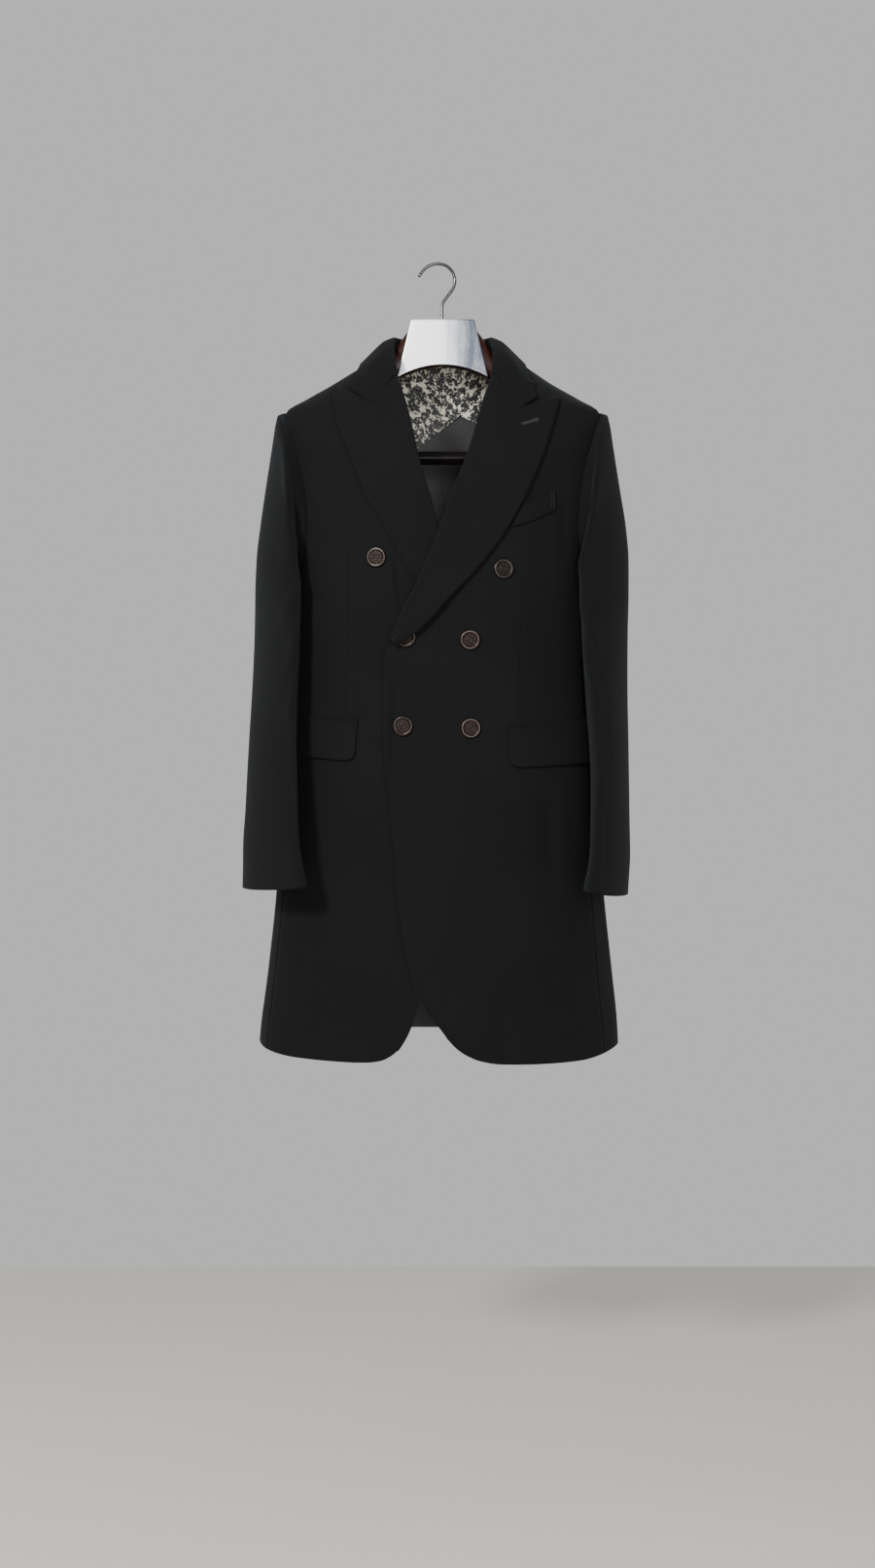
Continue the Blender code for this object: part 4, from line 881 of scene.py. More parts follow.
def shell(name, grid, outward, wall, materials, seams=(), anchor=0.0, attributes=None):
    """One piece of cloth: its grid thickened to its wall, with round edges and the cloth's UVs.

    Free rims are round. Sewn rims are pressed flat and close the seam on the inside.
    """
    distance = edge_distances(grid)
    normals, sign = grid_normals(grid, outward)
    grid = grid + CENTRED
    inner = grid.reshape(-1, 3)
    grid = grid + normals * np.asarray(seam_rise(seams, distance))[..., None]
    rows, columns = grid.shape[:2]
    count = rows * columns
    index = np.arange(count).reshape(rows, columns)
    loop = np.concatenate((index[0, :-1], index[:-1, -1], index[-1, :0:-1], index[:0:-1, 0]))
    near = np.concatenate((index[1, :-1], index[:-1, -2], index[-2, :0:-1], index[:0:-1, 1]))
    names = (["top"] * (columns - 1) + ["last"] * (rows - 1) + ["foot"] * (columns - 1)
             + ["first"] * (rows - 1))
    outer = grid.reshape(-1, 3)
    normals = normals.reshape(-1, 3)
    rim_normals = normals[loop]
    away = outer[loop] - outer[near]
    away = unit(away - rim_normals * np.sum(away * rim_normals, axis=-1, keepdims=True))
    sewn = np.array([side in seams for side in names])[:, None]
    away = away * np.where(sewn, SEAM_REACH, EDGE_REACH) * wall
    half = wall / 2.0
    rings = [outer[loop] + rim_normals * half * math.cos(turn) + away * math.sin(turn)
             for turn in (math.pi / 4.0, math.pi / 2.0, math.pi * 3.0 / 4.0)]
    rings[-1] = np.where(sewn, inner[loop] - rim_normals * half + away, rings[-1])
    points = np.concatenate([outer + normals * half, inner - normals * half] + rings)
    quads = np.stack((index[:-1, :-1], index[:-1, 1:], index[1:, 1:], index[1:, :-1]), axis=-1)
    quads = quads.reshape(-1, 4)
    if sign > 0:
        quads = quads[:, ::-1]
    edge_count = len(loop)
    levels = [loop, *(2 * count + ring * edge_count + np.arange(edge_count) for ring in range(3)),
              loop + count]
    rims = [np.stack((upper, np.roll(upper, -1), np.roll(lower, -1), lower), axis=-1)
            for upper, lower in zip(levels[:-1], levels[1:])]
    if sign < 0:
        rims = [rim[:, ::-1] for rim in rims]
    faces = np.concatenate([quads, quads[:, ::-1] + count] + rims)
    slots = np.zeros(len(faces), dtype=np.int32)
    for inside in (slice(len(quads), 2 * len(quads)), slice(-edge_count, None)):
        slots[inside] = len(materials) - 1
    mesh = bpy.data.meshes.new(name)
    mesh.vertices.add(len(points))
    mesh.loops.add(faces.size)
    mesh.polygons.add(len(faces))
    for part, key, values in (
            (mesh.vertices, "co", points.astype(np.float32)),
            (mesh.loops, "vertex_index", faces.astype(np.int32)),
            (mesh.polygons, "loop_start", np.arange(0, faces.size, 4, dtype=np.int32)),
            (mesh.polygons, "loop_total", np.full(len(faces), 4, dtype=np.int32)),
            (mesh.polygons, "material_index", slots),
            (mesh.polygons, "use_smooth", np.ones(len(faces), dtype=bool))):
        part.foreach_set(key, values.ravel())

    def on_every_point(values):
        """Values of the grid's points for both faces and the rims between them."""
        return np.concatenate([values, values] + [values[loop]] * 3).astype(np.float32)

    across = distance["first"] + anchor
    place = on_every_point(np.stack((across, -distance["top"]), axis=-1).reshape(-1, 2))
    mesh.uv_layers.new(name="cloth").data.foreach_set("uv", place[faces.ravel()].ravel())
    # rim_distance: how far each point lies from the nearest rim; the wool paints a shadow line
    # along it.
    layers = {"rim_distance": np.minimum.reduce(list(distance.values())), **(attributes or {})}
    for key, values in layers.items():
        layer = mesh.attributes.new(key, "FLOAT", "POINT")
        layer.data.foreach_set("value", on_every_point(np.asarray(values, float).reshape(-1)))
    mesh.update()
    mesh.validate()
    for material in materials:
        mesh.materials.append(material)
    piece = linked_object(name, mesh)
    corners = grid[:-1, :-1]
    area = np.linalg.norm(np.cross(grid[:-1, 1:] - corners, grid[1:, :-1] - corners), axis=-1)
    piece["flat_area"] = float(np.sum(area))
    piece["flat_width"] = float(distance["first"][:, -1].max())
    piece["flat_length"] = float(distance["top"][-1].max())
    return piece


def linked_object(name, data):
    """Object of the scene that holds the data."""
    made = bpy.data.objects.new(name, data)
    bpy.context.scene.collection.objects.link(made)
    return made


def stand_for(piece, node):
    """Fasten a piece to the part, in place of its CAD node."""
    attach(piece, "root")
    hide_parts(node)
    return piece


def sew_on(piece):
    """Fasten a small sewn piece that has no CAD node of its own."""
    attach(piece, "root")


def set_piece(piece, node):
    """Fasten a cloth piece over its CAD node."""
    stand_for(piece, node)
    return piece


def plain_mesh(name, points, faces, material):
    """Smooth mesh object from points and faces."""
    mesh = bpy.data.meshes.new(name)
    mesh.from_pydata([tuple(map(float, point)) for point in points], [], faces)
    mesh.shade_smooth()
    mesh.materials.append(material)
    return linked_object(name, mesh)


def band_faces(circles, around, start=0):
    """Faces between circles of points that follow one another, counted from start."""
    faces = []
    for circle in range(circles - 1):
        first = start + circle * around
        for step in range(around):
            after = (step + 1) % around
            faces.append((first + step, first + after, first + around + after,
                          first + around + step))
    return faces


def closed_tube(name, rings, material):
    """Tube through rings of points, closed flat at both ends."""
    count, around = rings.shape[:2]
    last = (count - 1) * around
    faces = [tuple(range(around))[::-1], *band_faces(count, around),
             tuple(range(last, last + around))]
    piece = plain_mesh(name, rings.reshape(-1, 3), faces, material)
    for place in (0, -1):
        piece.data.polygons[place].use_smooth = False
    return piece


# Materials

def feed(tree, socket, value):
    """Give a socket a number, a colour or another socket's value."""
    if isinstance(value, bpy.types.NodeSocket):
        tree.links.new(value, socket)
    else:
        socket.default_value = value


def set_sockets(tree, node, values):
    """Feed a node's sockets by name."""
    for key, value in values.items():
        feed(tree, node.inputs[key], value)


def add_node(tree, kind, **values):
    """Node with its settings and its sockets' values, by name."""
    node = tree.nodes.new(kind)
    for key, value in values.items():
        if key in node.inputs:
            feed(tree, node.inputs[key], value)
        else:
            setattr(node, key, value)
    return node


def calculate(tree, node, values):
    """Result of a node that calculates with the values in turn."""
    for socket, value in zip(node.inputs, values):
        feed(tree, socket, value)
    return node.outputs[0]


def maths(tree, operation, *values, clamp=False):
    """Result of a math node on numbers or sockets."""
    node = add_node(tree, "ShaderNodeMath", operation=operation, use_clamp=clamp)
    return calculate(tree, node, values)


def wave(tree, value, turn, swing, middle):
    """Sine of a value times a turn, swinging about its middle."""
    sine = maths(tree, "SINE", maths(tree, "MULTIPLY", value, turn))
    return maths(tree, "MULTIPLY_ADD", sine, swing, middle)


def spread(tree, value, low, high):
    """A value from 0 to 1 spread between two numbers."""
    return maths(tree, "MULTIPLY_ADD", value, high - low, low)


def cloth_place(tree):
    """Place on the flat cloth, in metres."""
    return add_node(tree, "ShaderNodeUVMap", uv_map="cloth").outputs["UV"]


def object_place(tree):
    """Place in the object's own space."""
    return add_node(tree, "ShaderNodeTexCoord").outputs["Object"]


def axes(tree, place):
    """The three coordinates of a place."""
    return add_node(tree, "ShaderNodeSeparateXYZ", Vector=place).outputs


def attribute(tree, name):
    """Value that each point of the mesh carries under a name."""
    return add_node(tree, "ShaderNodeAttribute", attribute_name=name).outputs["Fac"]


def noise(tree, place, **values):
    """Value of a noise at a place."""
    return add_node(tree, "ShaderNodeTexNoise", Vector=place, **values).outputs["Fac"]


def stretched(tree, place, scale):
    """A place scaled along its axes."""
    return add_node(tree, "ShaderNodeMapping", Vector=place, Scale=scale).outputs[0]


def bump(tree, height, distance, strength):
    """Normal bent by a height."""
    return add_node(tree, "ShaderNodeBump", Height=height, Distance=distance,
                    Strength=strength).outputs["Normal"]


def mix_colours(tree, factor, first, second):
    """Colour between two colours by a factor."""
    node = add_node(tree, "ShaderNodeMix", data_type="RGBA")
    feed(tree, node.inputs[0], factor)
    for socket, value in ((node.inputs[6], first), (node.inputs[7], second)):
        linked = isinstance(value, bpy.types.NodeSocket)
        feed(tree, socket, value if linked else (*value, 1.0))
    return node.outputs[2]


def weave(tree, given):
    """Twill weave: raised diagonal ribs broken up by the threads that cross them."""
    x, y, _ = axes(tree, given["Place"])
    across = maths(tree, "DIVIDE", x, given["Pitch"])
    down = maths(tree, "DIVIDE", y, given["Pitch"])
    slanted = maths(tree, "MULTIPLY", down, given["Slant"])
    wobble = noise(tree, given["Place"], Scale=260.0, Detail=2.0)
    shifted = maths(tree, "MULTIPLY_ADD", wobble, 0.7, slanted)
    rib = wave(tree, maths(tree, "ADD", across, shifted), 2.0 * math.pi, 0.5, 0.5)
    thread = wave(tree, maths(tree, "SUBTRACT", across, down), 2.6 * math.pi, 0.18, 0.82)
    return maths(tree, "MULTIPLY", rib, thread), thread


def cloud(tree, given):
    """Uneven tone: a broad cloud and fine fibres, from 0 to 1."""
    broad = noise(tree, given["Place"], Scale=given["Broad"], Detail=3.0, Roughness=0.55)
    fine = noise(tree, given["Place"], Scale=given["Fine"], Detail=3.0, Roughness=0.7)
    blend = add_node(tree, "ShaderNodeMix")
    for index, value in ((0, given["Share"]), (2, broad), (3, fine)):
        feed(tree, blend.inputs[index], value)
    return blend.outputs[0], fine


def sewn_line(tree, given):
    """A sewn line: a narrow ditch at a distance, dimpled where each stitch pulls it. Its Line
    output is the mask of the painted shade along it.
    """
    away = maths(tree, "DIVIDE", maths(tree, "ABSOLUTE", given["Distance"]), given["Width"])
    near = maths(tree, "POWER", maths(tree, "SUBTRACT", 1.0, away, clamp=True), 1.6)
    stitch = maths(tree, "DIVIDE", given["Along"], given["Pitch"])
    line = maths(tree, "MULTIPLY", near, wave(tree, stitch, 2.0 * math.pi, 0.25, 0.75))
    return maths(tree, "MULTIPLY", line, -1.0), line


# Each effect: what builds it, its inputs with their defaults, and its outputs
EFFECTS = {
    "twill weave": (weave, {"Place": None, "Pitch": 0.0016, "Slant": 0.6}, ("Height", "Thread")),
    "uneven tone": (cloud, {"Place": None, "Broad": 9.0, "Fine": 900.0, "Share": 0.5},
                    ("Tone", "Fibre")),
    "sewn line": (sewn_line, {"Distance": 1.0, "Along": 0.0, "Width": 0.0012, "Pitch": 0.004},
                  ("Height", "Line")),
}


def build_effect(name):
    """Shader node group of an effect, with its named sockets."""
    build, inputs, outputs = EFFECTS[name]
    group = bpy.data.node_groups.new(name, "ShaderNodeTree")
    for key, default in inputs.items():
        kind = "NodeSocketVector" if default is None else "NodeSocketFloat"
        socket = group.interface.new_socket(name=key, in_out="INPUT", socket_type=kind)
        if default is not None:
            socket.default_value = default
    for key in outputs:
        group.interface.new_socket(name=key, in_out="OUTPUT", socket_type="NodeSocketFloat")
    results = build(group, group.nodes.new("NodeGroupInput").outputs)
    set_sockets(group, group.nodes.new("NodeGroupOutput"), dict(zip(outputs, results)))
    return group


def effect(tree, name, **values):
    """Outputs of an effect with its inputs set by name; it is built when first used."""
    group = bpy.data.node_groups.get(name) or build_effect(name)
    return add_node(tree, "ShaderNodeGroup", node_tree=group, **values).outputs


def material(name, build, *values):
    """The material of that name, built when it is first asked for."""
    found = bpy.data.materials.get(name)
    if found is None:
        found = bpy.data.materials.new(name)
        found.use_nodes = True
        tree = found.node_tree
        build(tree, tree.nodes["Principled BSDF"], *values)
    return found


# Painted shade: each line below sinks the wool's bump and also darkens its colour. The
# rim_distance line paints a shadow along every rim; the others paint shade down the sewn ditches
# of hems, darts and the welt's end.
LINES_WITH_PAINTED_SHADE = {
    # attribute: place, axis, width, pitch, depth
    "rim_distance": (0.0, 0, 0.0024, 0.0500, 0.8),
    "hem_distance": (0.0375, 0, 0.0013, 0.0070, 1.1),
    "dart_distance": (0.0, 1, 0.0017, 0.0030, 3.2),
    "end_distance": (0.0045, 1, 0.0010, 0.0022, 1.6),
}


def wool(tree, shader, *lines):
    """Near-black twill with a short nap; lines are the sewn lines that its pieces carry, each
    darkened with painted shade, as is every rim.
    """
    colour = colours()
    place = cloth_place(tree)
    twill = effect(tree, "twill weave", Place=place, Pitch=sizes().weave_pitch, Slant=0.62)
    tone = effect(tree, "uneven tone", Place=place, Broad=7.0, Fine=1100.0, Share=0.45)
    lit = maths(tree, "MULTIPLY_ADD", tone["Tone"], 0.75, -0.10)
    ribbed = maths(tree, "MULTIPLY_ADD", twill["Height"], 0.45, lit)
    base = mix_colours(tree, ribbed, colour.wool_dark, colour.wool_light)
    height = maths(tree, "MULTIPLY_ADD", tone["Fibre"], 0.5, twill["Height"])
    along = axes(tree, place)
    for name in ("rim_distance", *lines):
        middle, axis, width, pitch, depth = LINES_WITH_PAINTED_SHADE[name]
        away = maths(tree, "SUBTRACT", attribute(tree, name), middle)
        line = effect(tree, "sewn line", Distance=away, Along=along[axis], Width=width,
                      Pitch=pitch)
        height = maths(tree, "MULTIPLY_ADD", line["Height"], depth, height)
        # Painted shade: the wool is darkened along the line, as a shadow at a rim or down a
        # seam's ditch.
        base = mix_colours(tree, line["Line"], base, colour.painted_line_shade)
    set_sockets(tree, shader, {
        "Base Color": base, "Normal": bump(tree, height, 0.00030, 0.75), "Roughness": 0.88,
        "Specular IOR Level": 0.11, "Sheen Weight": 0.04, "Sheen Roughness": 0.45,
        "Sheen Tint": (0.78, 0.82, 0.88, 1.0)})


def mottled_lining(tree, shader):
    """Mottled lining: cream flecks and grey patches on charcoal, with a satin sheen."""
    colour = colours()
    place = cloth_place(tree)
    warp = add_node(tree, "ShaderNodeTexNoise", Vector=place, Scale=90.0, Detail=3.0)
    bend = add_node(tree, "ShaderNodeVectorMath", operation="MULTIPLY_ADD")
    bent = calculate(tree, bend, (warp.outputs["Color"], (0.005, 0.005, 0.0), place))
    spots = []
    for scale, level, sharp in ((60.0, 0.53, 20.0), (92.0, 0.53, 40.0), (240.0, 0.585, 26.0)):
        found = noise(tree, bent, Scale=scale, Detail=2.5, Roughness=0.72)
        above = maths(tree, "SUBTRACT", found, level)
        spots.append(maths(tree, "MULTIPLY", above, sharp, clamp=True))
    patch, blot, speck = spots
    ground = mix_colours(tree, patch, colour.lining_ground, colour.lining_grey)
    base = mix_colours(tree, maths(tree, "MAXIMUM", blot, speck), ground, colour.lining_cream)
    satin = effect(tree, "twill weave", Place=place, Pitch=0.0007, Slant=1.0)
    thread = mix_colours(tree, satin["Height"], colour.lining_ground, base)
    set_sockets(tree, shader, {
        "Base Color": mix_colours(tree, 0.88, thread, base), "Roughness": 0.48,
        "Normal": bump(tree, satin["Height"], 0.00008, 0.4), "Sheen Weight": 0.10})


def plain_lining(tree, shader):
    """Plain charcoal lining of the hidden sides, a fine satin."""
    colour = colours()
    place = cloth_place(tree)
    satin = effect(tree, "twill weave", Place=place, Pitch=0.0009, Slant=0.3)
    tone = effect(tree, "uneven tone", Place=place, Broad=14.0, Fine=700.0, Share=0.3)
    factor = maths(tree, "MULTIPLY", satin["Height"], tone["Tone"])
    set_sockets(tree, shader, {
        "Base Color": mix_colours(tree, factor, colour.satin_dark, colour.satin_light),
        "Normal": bump(tree, satin["Height"], 0.00006, 0.4), "Roughness": 0.5})


def copper(tree, shader):
    """Antiqued copper: dark patina in its recesses; where it is raised, bright rubbed metal with
    a painted highlight.
    """
    colour = colours()
    tone = effect(tree, "uneven tone", Place=object_place(tree), Broad=260.0, Fine=2400.0,
                  Share=0.4)
    patina = maths(tree, "MULTIPLY_ADD", tone["Tone"], 0.9, -0.58)
    # bright: rubbed metal with a painted highlight where the button is raised, broken by patina.
    bright = maths(tree, "ADD", attribute(tree, "raised"), patina, clamp=True)
    set_sockets(tree, shader, {
        "Base Color": mix_colours(tree, bright, colour.copper_dark, colour.copper_rub_and_highlight),
        "Roughness": spread(tree, bright, 0.52, 0.24), "Metallic": 0.9,
        "Normal": bump(tree, tone["Fibre"], 0.00006, 0.5)})


def wood(tree, shader, dark, light, polish):
    """Dark polished wood with its grain along the arms."""
    place = stretched(tree, object_place(tree), (7.0, 60.0, 60.0))
    grain = noise(tree, place, Scale=3.0, Detail=8.0, Roughness=0.62, Distortion=0.6)
    pores = noise(tree, place, Scale=22.0, Detail=3.0)
    factor = maths(tree, "MULTIPLY", maths(tree, "SUBTRACT", grain, 0.30), 2.4, clamp=True)
    set_sockets(tree, shader, {
        "Base Color": mix_colours(tree, factor, dark, light),
        "Roughness": spread(tree, pores, 0.26, 0.46), "Normal": bump(tree, pores, 0.00012, 0.25),
        "Coat Weight": polish, "Specular IOR Level": polish, "Coat Roughness": 0.12})


# Painted highlight of the plate: the line where it is brightest, and how far it fades out to
# painted shade.
PLATE_HIGHLIGHT_X = COAT_CENTRE - 0.026
PLATE_HIGHLIGHT_WIDTH = 0.062


def silver(tree, shader):
    """Satin silver plate with a painted highlight left of its middle, fading to painted shade
    towards its sides, most on the right, and a faint brushed grain.
    """
    colour = colours()
    place = object_place(tree)
    tone = effect(tree, "uneven tone", Place=stretched(tree, place, (170.0, 60.0, 24.0)),
                  Broad=0.7, Fine=9.0, Share=0.5)
    # Painted highlight: brightest along one line across the plate, fading to painted shade,
    # streaked by the real brush marks.
    aside = maths(tree, "ABSOLUTE", maths(tree, "SUBTRACT", axes(tree, place)[0], PLATE_HIGHLIGHT_X))
    painted_highlight = maths(tree, "MULTIPLY_ADD", aside, -1.0 / PLATE_HIGHLIGHT_WIDTH, 1.0, clamp=True)
    brushing = maths(tree, "MULTIPLY_ADD", tone["Tone"], 1.5, -0.70)
    painted_highlight = maths(tree, "MULTIPLY_ADD", painted_highlight, 1.5, brushing, clamp=True)
    set_sockets(tree, shader, {
        "Base Color": mix_colours(tree, painted_highlight, colour.silver_brush_and_painted_shade, colour.silver),
        "Roughness": spread(tree, tone["Fibre"], 0.34, 0.50), "Metallic": 0.75,
        "Normal": bump(tree, tone["Fibre"], 0.00004, 0.3)})


def toned(tree, dark, light, broad, fine, share=0.5):
    """Colour between two colours by the uneven tone, and that tone's fibres."""
    tone = effect(tree, "uneven tone", Place=object_place(tree), Broad=broad, Fine=fine,
                  Share=share)
    return mix_colours(tree, tone["Tone"], dark, light), tone["Fibre"]


def steel(tree, shader):
    """Polished steel wire with fine drawing marks."""
    base, fibre = toned(tree, colours().steel_shade, colours().steel, 120.0, 1500.0)
    set_sockets(tree, shader, {
        "Base Color": base, "Roughness": spread(tree, fibre, 0.17, 0.23), "Metallic": 1.0,
        "Specular Tint": (0.20, 0.20, 0.21, 1.0)})


def twisted_thread(tree, shader):
    """Dark sewing thread, twisted."""
    base, _ = toned(tree, colours().wool_light, colours().thread, 400.0, 3000.0)
    set_sockets(tree, shader, {"Base Color": base, "Roughness": 0.6, "Sheen Weight": 0.1})


def matt_floor(tree, shader):
    """Pale matt floor."""
    base, _ = toned(tree, colours().floor_shade, colours().floor, 1.2, 40.0, 0.3)
    set_sockets(tree, shader, {"Base Color": base, "Roughness": 0.8})


# Cloth pieces

HEM_REACH = 0.2
HEM_FOLD = (0.0395, 0.0350)
HEM_RISE = 0.0005
EDGE_RISE = 0.0007
EDGE_RISE_PLACE = 0.0055
EDGE_RISE_WIDTH = 0.0045
EDGE_RISE_FADE = 0.03
LAPEL_RISE = 0.0005
LAPEL_RISE_PLACE = 0.0045
LAPEL_RISE_WIDTH = 0.0035


def lining():
    """The plain lining's material."""
    return material("plain_lining", plain_lining)


def lined(name, *lines):
    """Materials of a lined piece: its wool, then the plain lining inside."""
    return material(name, wool, *lines), lining()


def dart_distance(side, grid):
    """Signed distance of each point from the front's dart, far off beyond its ends."""
    (reach_a, top), (reach_b, foot) = DARTS[side]
    share = (grid[..., 2] - top) / (foot - top)
    across = grid[..., 0] * SIDES[side] - mix(reach_a, reach_b, share)
    past = np.maximum(np.maximum(-share, share - 1.0), 0.0) * abs(foot - top)
    return np.where(past > 0.0, np.sign(across + 1e-9) * np.hypot(across, past), across)


class OVERCOAT_OT_fronts(bpy.types.Operator):
    """Build the two fronts with their darts, hems and soft front edges"""

    bl_idname = "overcoat.fronts"
    bl_label = "Fronts"

    def execute(self, context):
        for side in SIDES:
            grid = front_grid(side)
            distance = edge_distances(grid)
            below_break = ease(BREAK_HEIGHT, BREAK_HEIGHT - EDGE_RISE_FADE, grid[..., 2])
            soft_edge = EDGE_RISE * bell(distance["first"], EDGE_RISE_PLACE, EDGE_RISE_WIDTH)
            hem_fold = HEM_RISE * ease(*HEM_FOLD, distance["foot"])
            rise = (soft_edge * below_break + hem_fold) * sizes().crease_share
            grid = raised(grid, FORWARD, rise)
            piece = shell(
                f"front_{side}_cloth", grid, FORWARD, CLOTH,
                lined("wool_front", "hem_distance", "dart_distance"), seams=("last",),
                anchor=grid[:, :1, 0] * SIDES[side],
                attributes={"dart_distance": dart_distance(side, grid),
                            "hem_distance": np.minimum(distance["foot"], HEM_REACH)})
            set_piece(piece, f"front_{side}")
        return {"FINISHED"}


def build_panel(part, side, grid, outward):
    """One side panel or back, sewn at its sides and top, with its hem."""
    hem = np.minimum(edge_distances(grid)["foot"], HEM_REACH)
    piece = shell(f"{part}_{side}_cloth", grid, outward, CLOTH,
                  lined("wool_hemmed", "hem_distance"), seams=("first", "last", "top"),
                  attributes={"hem_distance": hem})
    set_piece(piece, f"{part}_{side}")


class OVERCOAT_OT_sides(bpy.types.Operator):
    """Build the two narrow panels under the arms"""

    bl_idname = "overcoat.sides"
    bl_label = "Side panels"

    def execute(self, context):
        for side, sign in SIDES.items():
            build_panel("side", side, side_grid(side), (sign, 0.0, 0.0))
        return {"FINISHED"}


class OVERCOAT_OT_backs(bpy.types.Operator):
    """Build the two backs with the centre seam and the vent's lap"""

    bl_idname = "overcoat.backs"
    bl_label = "Backs"

    def execute(self, context):
        for side in SIDES:
            build_panel("back", side, back_grid(side), BACKWARD)
        return {"FINISHED"}


class OVERCOAT_OT_lapels(bpy.types.Operator):
    """Build the two peak lapels, each turned out of its front's edge"""

    bl_idname = "overcoat.lapels"
    bl_label = "Lapels"

    def execute(self, context):
        for side in SIDES:
            grid = lapel_grid(side)
            outer = edge_distances(grid)["last"]
            rolled = LAPEL_RISE * bell(outer, LAPEL_RISE_PLACE, LAPEL_RISE_WIDTH)
            piece = shell(f"lapel_{side}_cloth", raised(grid, FORWARD, rolled), FORWARD, CLOTH,
                          (material("wool_plain", wool),))
            set_piece(piece, f"lapel_{side}")
        return {"FINISHED"}


class OVERCOAT_OT_collar(bpy.types.Operator):
    """Build the collar: its stand, roll and leaf"""

    bl_idname = "overcoat.collar"
    bl_label = "Collar"

    def execute(self, context):
        piece = shell("collar_cloth", collar_grid(), (0.0, 0.3, 1.0), CLOTH,
                      (material("wool_plain", wool),))
        set_piece(piece, "collar")
        return {"FINISHED"}


# Each sleeve piece: its first and last turn, its columns, and whether it faces outwards
SLEEVE_PIECES = {
    "top": (HINDARM_SEAM - 360.0 + SLEEVE_SEAM_HALF, FOREARM_SEAM - SLEEVE_SEAM_HALF, 108, 1.0),
    "under": (FOREARM_SEAM + SLEEVE_SEAM_HALF, HINDARM_SEAM - SLEEVE_SEAM_HALF, 66, -1.0),
}


class OVERCOAT_OT_sleeves(bpy.types.Operator):
    """Build the top and under piece of each sleeve, creased at the elbow"""

    bl_idname = "overcoat.sleeves"
    bl_label = "Sleeves"

    def execute(self, context):
        for side, sign in SIDES.items():
            for part, (first, last, columns, facing) in SLEEVE_PIECES.items():
                piece = shell(f"{part}_sleeve_{side}_cloth",
                              sleeve_grid(side, first, last, columns),
                              (sign * facing, 0.0, 0.0), CLOTH, lined("wool_plain"),
                              seams=("first", "last", "top"))
                set_piece(piece, f"{part}_sleeve_{side}")
        return {"FINISHED"}


class OVERCOAT_OT_pockets(bpy.types.Operator):
    """Build the hip pockets' jets and flaps"""

    bl_idname = "overcoat.pockets"
    bl_label = "Hip pockets"

    def execute(self, context):
        for side in SIDES:
            jet = shell(f"jet_{side}_cloth", jet_grid(side), FORWARD, JET_WALL,
                        (material("wool_plain", wool),))
            stand_for(jet, f"jet_{side}")
            flap = shell(f"flap_{side}_cloth", flap_grid(side), FORWARD, CLOTH,
                         lined("wool_plain"))
            set_piece(flap, f"flap_{side}")
        return {"FINISHED"}


class OVERCOAT_OT_welt(bpy.types.Operator):
    """Build the breast welt, stitched down at its outer end"""

    bl_idname = "overcoat.welt"
    bl_label = "Breast welt"

    def execute(self, context):
        grid = welt_grid()
        piece = shell("chest_welt_cloth", grid, FORWARD, CLOTH,
                      (material("wool_welt", wool, "end_distance"),),
                      attributes={"end_distance": edge_distances(grid)["last"]})
        set_piece(piece, "chest_welt")
        return {"FINISHED"}


class OVERCOAT_OT_yoke(bpy.types.Operator):
    """Build the yoke of mottled lining inside the neck"""

    bl_idname = "overcoat.yoke"
    bl_label = "Lining yoke"

    def execute(self, context):
        grid = yoke_grid()
        middle = edge_distances(grid)["first"][:, [grid.shape[1] // 2]]
        piece = shell("yoke_lining_cloth", grid, FORWARD, LINING,
                      (material("mottled_lining", mottled_lining),), seams=("top",),
                      anchor=-middle)
        set_piece(piece, "yoke_lining")
        return {"FINISHED"}


# Buttons

BUTTON_RADIUS = 0.0135
BUTTON_RISE = 0.0034
BUTTON_SEAT = 0.0004
BUTTON_SIDES = 96
BUTTON_FIELD_END = 0.66
# The turned face, and the two circles of the back, in shares of the radius and the rise
BUTTON_PROFILE = Table("across up", (
    (0, 0.66), (0.1, 0.655), (0.16, 0.64), (0.2, 0.76), (0.25, 0.8), (0.29, 0.74), (0.33, 0.64),
    (0.45, 0.615), (0.58, 0.62), (0.66, 0.64), (0.7, 0.76), (0.76, 0.96), (0.83, 1), (0.9, 0.985),
    (0.96, 0.88), (1, 0.62),
), plain="across up")
BUTTON_BACK = ((0.98, 0.10), (0.93, 0.0))
BUTTON_BACK_TONE = 0.2
# The petals of the field and the teeth of the rim, in the same shares
PETALS = 8.0
PETAL_HEIGHT = 0.085
PETAL_PLACE = 0.48
PETAL_WIDTH = 0.10
PETAL_ROUNDNESS = 0.7
TEETH = 48.0
TEETH_HEIGHT = 0.018
TEETH_PLACE = 0.885
TEETH_WIDTH = 0.05
# The metal is dark patina up to one level, and from the other on bright: rubbed metal with a
# painted highlight
DARK_LEVEL = 0.52
BRIGHT_LEVEL = 0.94


